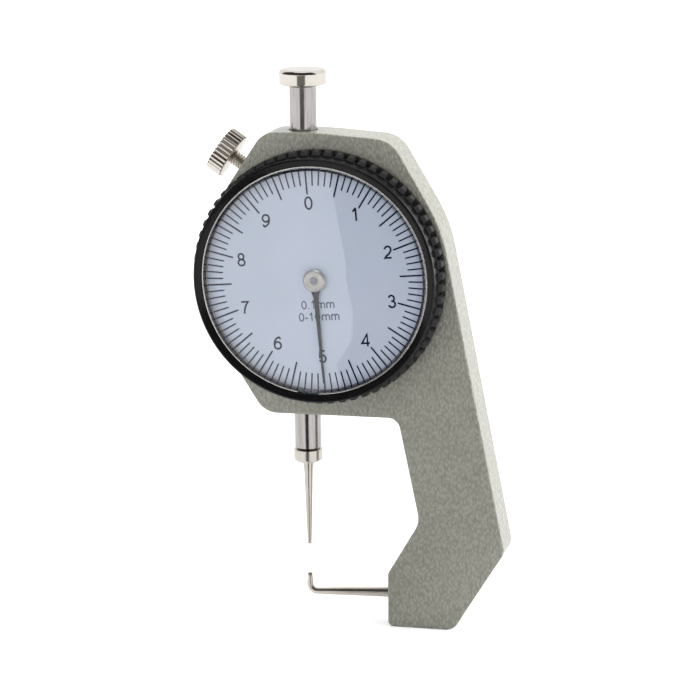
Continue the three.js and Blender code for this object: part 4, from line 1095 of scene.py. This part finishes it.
def glyph(sign):
    # The strokes of a sign in a cell one unit high, and the width it takes
    bowl = arcStroke(0.385, 0.3, 0.265, 0.28, 0, 360, 30)
    hook = arcStroke(0.62, 0.38, 0.5, 0.59, 184, 100, 14) + [(0.61, 0.87), (0.63, 0.78)]
    shapes = {
        "0": [arcStroke(0.385, 0.5, 0.265, 0.47, 0, 360, 36)],
        "1": [[(0.17, 0.75), (0.3, 0.83), (0.4, 0.97), (0.44, 0.97), (0.44, 0.0)]],
        "2": [arcStroke(0.375, 0.7, 0.245, 0.26, 172, -28)
              + [(0.46, 0.37), (0.25, 0.21), (0.14, 0.1), (0.11, 0.05), (0.65, 0.05)]],
        "3": [arcStroke(0.36, 0.73, 0.22, 0.235, 165, -72) + [(0.32, 0.52)],
              [(0.32, 0.52)] + arcStroke(0.37, 0.27, 0.26, 0.25, 72, -165)],
        "4": [[(0.53, 0.0), (0.53, 0.97), (0.07, 0.26), (0.71, 0.26)]],
        "5": [[(0.61, 0.95), (0.22, 0.95), (0.14, 0.46)] + arcStroke(0.375, 0.32, 0.26, 0.29, 128, -162)],
        "6": [bowl, hook],
        "7": [[(0.1, 0.95), (0.66, 0.95), (0.46, 0.66), (0.35, 0.34), (0.3, 0.0)]],
        "8": [arcStroke(0.385, 0.745, 0.215, 0.225, 0, 360, 28),
              arcStroke(0.385, 0.27, 0.265, 0.245, 0, 360, 28)],
        "9": [[(0.77 - x, 1 - y) for x, y in stroke] for stroke in (bowl, hook)],
        ".": [[(0.19, 0.0), (0.19, 0.13)]],
        "-": [[(0.04, 0.36), (0.42, 0.36)]],
        "m": [[(0.15, 0.0), (0.15, 0.72)],
              arcStroke(0.37, 0.46, 0.22, 0.23, 180, 0, 12) + [(0.59, 0.0)],
              arcStroke(0.81, 0.46, 0.22, 0.23, 180, 0, 12) + [(1.03, 0.0)]],
    }
    digitWidth = 0.777
    widths = {".": 0.388, "-": 0.465, "m": 1.163}
    return shapes[sign], widths.get(sign, digitWidth)


def addStroke(shape, line, half):
    # A thin closed ribbon along a line in X and Y, whose sharp corners reach no further than the cosine lets
    leastCosine = 0.4
    points = [Vector(point) for point in line]
    isLoop = (points[0] - points[-1]).length < 1e-6
    if isLoop:
        points.pop()
    count = len(points)
    sides = ([], [])
    for k, point in enumerate(points):
        before = points[k - 1] if k or isLoop else points[k]
        after = points[(k + 1) % count] if k < count - 1 or isLoop else points[k]
        ways = [step.normalized() for step in (point - before, after - point) if step.length > 0]
        way = sum(ways, Vector((0, 0))).normalized()
        across = Vector((-way.y, way.x))
        stretch = 1 / max(leastCosine, across.dot(Vector((-ways[0].y, ways[0].x))))
        sides[0].append(point + across * half * stretch)
        sides[1].append(point - across * half * stretch)
    left, right = sides
    rows = [[shape.verts.new((*spot, height)) for spot in side]
            for side, height in ((left, inkBase), (left, inkTop), (right, inkTop), (right, inkBase))]
    skinned(shape, rows + rows[:1], closed=isLoop)
    if not isLoop:
        shape.faces.new([row[0] for row in rows])
        shape.faces.new([row[-1] for row in rows])


def addText(shape, text, x, y, letters):
    # Signs side by side, with their middle at x and y
    height = letters["height"]
    cells = [glyph(sign) for sign in text]
    left = -sum(cell[1] for cell in cells) / 2
    for strokes, cellWidth in cells:
        for line in strokes:
            moved = [(x + (px + left) * height, y + (py - 0.5) * height) for px, py in line]
            addStroke(shape, moved, letters["stroke"] / 2)
        left += cellWidth


def makeScale():
    tick = block((-0.5, -0.5, -0.5), (0.5, 0.5, 0.5))
    upEdges = [edge for edge in tick.edges if abs((edge.verts[0].co - edge.verts[1].co).z) > 0.5]
    bmesh.ops.bevel(tick, geom=upEdges, offset=scale["corner"], segments=2, affect="EDGES")
    tick.transform(Matrix.Scale(1 / mm, 4))
    obj = placed("dial_scale", tick, asDrawn, paints["ink"])
    scalePattern.applied(obj, {
        "divisions": scale["divisions"], "long": scale["long"], "Weld": 0.0, "Material": paints["ink"],
        **{label: scale[label] * mm for label in scaleLengths}})
    middle = Matrix.Translation((0, 0, (inkBase + inkTop) / 2))
    obj.data.transform(inMetres(onScale @ middle))
    smooth(obj)
    carried(obj, "bezel", "dial_paint")


def makeNumerals():
    shape = bmesh.new()
    for number, radius in enumerate(numerals["radii"]):
        angle = fullTurn * number / len(numerals["radii"])
        x, y = radius * math.sin(angle) + numerals["shift"], radius * math.cos(angle)
        addText(shape, str(number), x, y, numerals)
    carried(placed("dial_numerals", shape, onScale, paints["ink"]), "bezel", "dial_paint")


def makeUnits():
    shape = bmesh.new()
    for text, x, y in units["lines"]:
        addText(shape, text, x, y, units)
    carried(placed("dial_units", shape, onScale, paints["greyInk"]), "bezel", "dial_paint")


makeScale()
makeNumerals()
makeUnits()
print("dial printed")


# Pointer

needle = {"back": 3.85, "thick": 0.15, "length": 17, "hub": 1.55, "neck": 1.15, "waist": 0.35,
          "waistAt": 4.2, "tip": 0.13, "bevel": 0.04, "topShare": 0.93, "reading": 5, "travel": 10}
boss = {"radius": 1.85, "bore": 0.55, "back": 4.05, "thick": 0.36, "edge": 0.1, "bevel": 0.28, "soft": 0.03,
        "dish": 0.05, "dishRadius": 1.3, "dishSlope": 0.1}
rivet = {"radius": 0.62, "back": 4.4, "height": 0.12, "edge": 0.08, "shaft": 0.5, "shaftEdge": 0.05,
         "hole": 0.2, "soft": 0.03}


def makeNeedle():
    # Half widths along the needle flow from the hub to the tip
    hub, neckHalf, waist, waistAt = pick(needle, "hub neck waist waistAt")
    meet = math.asin(neckHalf / hub)
    hubSteps, flowSteps = 28, 10
    outline = []
    for k in range(hubSteps + 1):
        angle = math.pi / 2 + meet + (fullTurn - 2 * meet) * k / hubSteps
        outline.append((hub * math.cos(angle), hub * math.sin(angle)))
    start = hub * math.cos(meet)
    side = []
    for k in range(1, flowSteps + 1):
        share = k / flowSteps
        side.append((waist + (neckHalf - waist) * (1 - share) ** 3, start + (waistAt - start) * share))
    side.append((needle["tip"], needle["length"]))
    outline += side + [(-x, y) for x, y in reversed(side)]
    shape = bmesh.new()
    low, high = needle["back"], needle["back"] + needle["thick"]
    rows = [[shape.verts.new((x * inset, y if y > hub else y * inset, height)) for x, y in outline]
            for height, inset in ((low, 1), (high - needle["bevel"], 1), (high, needle["topShare"]))]
    skinned(shape, rows, capped=True)
    turn = fullTurn * needle["reading"] / needle["travel"] - math.radians(scale["turn"])
    obj = placed("needle", shape, onDial @ Matrix.Rotation(-turn, 4, "Z"), paints["pointer"])
    carried(obj, "pointer", "pointer_paint", "pointer")


def makeBoss():
    low, high = boss["back"], boss["back"] + boss["thick"]
    bore, wide, bevel, soft = pick(boss, "bore radius bevel soft")
    dish, rim, slope = pick(boss, "dish dishRadius dishSlope")
    profile = softened([(bore, low, 0), (wide, low, soft), (wide, high - bevel, soft),
                        (wide - bevel, high, boss["edge"]), (rim, high, dish),
                        (rim - slope, high - dish, dish), (bore, high - dish, 0)], closed=True)
    obj = placed("hub_disc", turned(profile, 72, closed=True), onDial, paints["boss"])
    carried(obj, "pointer", "boss_metal", "pointer_boss")


def makeArbor():
    back, hole, edge, wide, shaft, soft = pick(rivet, "back hole edge radius shaft soft")
    top = back + rivet["height"]
    end = frameFront - boxInMm("pointer_arbor")[1].y
    corners = [(0, end, 0), (shaft, end, rivet["shaftEdge"]), (shaft, back, 0),
               (wide, back, soft), (wide, top, edge), (hole + edge, top, soft),
               (hole, top - edge, 0), (0, top - edge, 0)]
    obj = placed("arbor", turned(softened(corners), 48), onDial, paints["spring"])
    carried(obj, "pointer", "steel", "pointer_arbor")


makeNeedle()
makeBoss()
makeArbor()
print("pointer made")


# Lock screw

def knurledProfile(share):
    # Ridges along the screw, which round off into the grooves between them
    ridgeHalf = lockSizes["ridgeShare"] / 2
    fall = max(0, (abs(share) - ridgeHalf) / (0.5 - ridgeHalf))
    wide = lockSizes["head"] - lockSizes["knurlDepth"] * math.sin(fall * math.pi / 2)
    low, high = lockUnder, lockUnder + lockSizes["thick"]
    mouth, bottom, depth, soft = lockSizes["recess"]
    corners = [(0, low, 0), (wide, low, lockSizes["underEdge"]), (wide, high, lockSizes["edge"]),
               (mouth, high, soft), (bottom, high - depth, soft), (0, high - depth, 0)]
    return softened(corners, steps=3, guard=0.02)


def lockThread():
    # A bar whose radius rises and falls along a helix
    low, high = lockSizes["padEnd"] + fit, lockUnder + lockSizes["rooted"]
    pitch, depth, flat = lockSizes["pitch"], lockSizes["threadDepth"], lockSizes["flatShare"]
    steps, perPitch = 40, 8
    levels = math.ceil((high - low) / pitch * perPitch)
    shape = bmesh.new()
    rings = [[shape.verts.new((0, 0, low))]]
    for j in range(levels + 1):
        z = low + (high - low) * j / levels
        row = []
        for k in range(steps):
            phase = (z / pitch - k / steps) % 1
            fall = abs(phase * 2 - 1) * (1 + 2 * flat) - flat
            radius = lockSizes["shank"] - depth * min(1, max(0, fall))
            angle = fullTurn * k / steps
            row.append(shape.verts.new((radius * math.cos(angle), radius * math.sin(angle), z)))
        rings.append(row)
    rings.append([shape.verts.new((0, 0, high))])
    return skinned(shape, rings)


def makeLockScrew():
    shape = sector(knurledProfile, lockSizes["knurls"], 8, closed=False)
    bmesh.ops.remove_doubles(shape, verts=shape.verts, dist=weld)
    obj = ringOf("knurled_screw", shape, lockSizes["knurls"], onLock, paints["nickel"], sharp=38)
    added(obj, lockThread(), onLock)
    carried(obj, "lock_screw", "chrome", "lock_screw")


makeLockScrew()
print("lock screw made")


# Finishes of the nodes that stay as they are

kept = {
    "brass": ("upper_bush", "lower_bush", "front_bearing", "rear_bridge", "pinion", "hairspring_collet",
              "lock_pad"),
    "steel": ("rear_bearing", "hairspring_stud", "spring_post", "spring_pin", "guide_pin",
              "anvil_set_screw", "bridge_screw_1", "bridge_screw_2"),
    "spring": ("return_spring", "hairspring", "bezel_snap_ring"),
    "dial": ("dial_face",),
}
for finishName, names in kept.items():
    for name in names:
        for slot in nodes[name].material_slots:
            slot.material = paints[finishName]
print("nodes finished")


# Studio

studio = {
    "floorSize": 20, "floorSink": 0.02, "floorGlow": 0.5, "floorTone": (0.66, 0.66, 0.66, 1),
    "fibreTone": (0.6, 0.6, 0.6, 1), "ambient": 0.4,
    "lamps": {
        "overhead": {"from": (0.2, 0.25, 1.0), "level": 1.05, "spread": 80},
        "rightBack": {"from": (1.0, 0.35, 0.4), "level": 0.88, "spread": 50},
        "leftFront": {"from": (-0.75, -1.0, 0.1), "level": 0.36, "spread": 80},
    },
    "darkRoom": {"radius": 1.2, "turn": (-100, 81), "rise": (1, 66)},
    "tableLift": 0.5,
    # Outline of a dark sheet that stands in for a shadow on the table in front of the gauge
    "tableShadowSheet": [(-2, -14), (-6, -80), (-40, -193), (-41, -205), (-43, -225), (-51, -260), (-63, -303),
                  (-72, -340), (-107, -469), (-122, -526), (-240, -1000), (560, -1000), (360, -704),
                  (220, -526), (74, -193), (38, -118), (22, -80), (10, -14)],
}


def rayMask(wiring, *rays):
    # 1 for the named kinds of ray, which see the surroundings white
    path = wiring.node("ShaderNodeLightPath")
    total = sum(Value(wiring, path.outputs[f"Is {ray} Ray"]) for ray in rays)
    return wiring.maths("ADD", total, 0, clamp=True)


def makeWorld():
    world = bpy.data.worlds.new("studio")
    scene.world = world
    world.use_nodes = True
    wiring = Wiring(world.node_tree)
    wiring.tree.nodes.clear()
    seen = rayMask(wiring, "Camera", "Glossy", "Transmission")
    level = studio["ambient"] + seen * (1 - studio["ambient"])
    shade = wiring.node("ShaderNodeBackground", {}, {"Color": (1, 1, 1, 1), "Strength": level})
    wiring.node("ShaderNodeOutputWorld", {}, {"Surface": shade.outputs[0]})


def flatSheet(corners, z):
    shape = bmesh.new()
    shape.faces.new([shape.verts.new((x, y, z)) for x, y in corners])
    return shape


def makeFloor():
    finish = Finish("floor_paper")
    finish.tree.nodes.remove(finish.shader)
    tone = finish.mixed(finish.noise(2) * 0.1, studio["floorTone"], studio["fibreTone"])
    paper = finish.node("ShaderNodeBsdfDiffuse", {}, {"Color": tone})
    glow = finish.node("ShaderNodeEmission", {}, {
        "Color": (1, 1, 1, 1), "Strength": rayMask(finish, "Camera", "Transmission") * studio["floorGlow"]})
    both = finish.node("ShaderNodeAddShader", {}, {0: paper.outputs[0], 1: glow.outputs[0]})
    finish.feed(finish.output.inputs["Surface"], both.outputs[0])
    half = studio["floorSize"] / 2 / mm
    corners = [(-half, -half), (half, -half), (half, half), (-half, half)]
    placed("floor", flatSheet(corners, footZ - studio["floorSink"]), asDrawn, finish.material)


def darkCard():
    # Only polished surfaces and the crystal show it: light that has been scattered passes
    finish = Finish("dark_card")
    weave = finish.noise(30)
    finish.set(Base_Color=finish.mixed(weave, colour(26, 24, 23), colour(38, 35, 33)), Roughness=0.9)
    scattered = finish.value("ShaderNodeLightPath", "Diffuse Depth").between(0.4, 0.6)
    finish.givesWay(scattered, finish.node("ShaderNodeBsdfTransparent"))
    return finish.material


def darkRoom():
    # Part of a globe round the gauge
    room = studio["darkRoom"]
    shape = bmesh.new()
    rows = []
    for turn in anglesFrom(*room["turn"], 48):
        ways = [Vector((math.sin(turn) * math.cos(rise), -math.cos(turn) * math.cos(rise), math.sin(rise)))
                for rise in anglesFrom(*room["rise"], 12)]
        rows.append([shape.verts.new(way * room["radius"] / mm) for way in ways])
    return skinned(shape, rows, closed=False)


def makeDarkCards():
    # The unlit room, and a dark sheet on the table in front of the gauge that stands in for the shadow cast
    # there; the plating mirrors both
    material = darkCard()
    table = flatSheet(studio["tableShadowSheet"], footZ + studio["tableLift"])
    for name, shape in (("dark_room", darkRoom()), ("table_shadow_sheet", table)):
        card = placed(name, shape, asDrawn, material)
        card.visible_camera = False
        card.visible_diffuse = False
        card.visible_shadow = False


def softLamp(name, facts):
    # A wide sun, whose level is the brightness that it gives to a white surface facing it
    lamp = bpy.data.lights.new(name, "SUN")
    lamp.energy = facts["level"] * math.pi
    lamp.angle = math.radians(facts["spread"])
    obj = bpy.data.objects.new(name, lamp)
    obj.rotation_euler = Vector(facts["from"]).to_track_quat("Z", "Y").to_euler()
    obj.visible_glossy = False
    scene.collection.objects.link(obj)


view = {"place": (0.10720, -0.43393, 0.08605), "turn": 13.54, "rise": 12.65, "roll": 0.69,
        "focalPixels": 2750, "framePixels": 700, "sensor": 36, "nearest": 0.01}


def makeCamera():
    turn, rise, roll = (math.radians(view[key]) for key in ("turn", "rise", "roll"))
    right = Vector((math.cos(turn), math.sin(turn), 0))
    up = Vector((-math.sin(turn) * math.sin(rise), math.cos(turn) * math.sin(rise), math.cos(rise)))
    back = right.cross(up)
    tiltedRight = right * math.cos(roll) - up * math.sin(roll)
    tiltedUp = right * math.sin(roll) + up * math.cos(roll)
    lens = bpy.data.cameras.new("camera")
    lens.sensor_width = view["sensor"]
    lens.lens = view["sensor"] * view["focalPixels"] / view["framePixels"]
    lens.clip_start = view["nearest"]
    camera = bpy.data.objects.new("camera", lens)
    basis = Matrix((tiltedRight, tiltedUp, back)).transposed().to_4x4()
    camera.matrix_world = Matrix.Translation(view["place"]) @ basis
    scene.collection.objects.link(camera)
    scene.camera = camera


makeWorld()
makeFloor()
makeDarkCards()
for lampName, lampFacts in studio["lamps"].items():
    softLamp(lampName, lampFacts)
makeCamera()
scene.view_settings.view_transform = "Standard"
print("studio made")
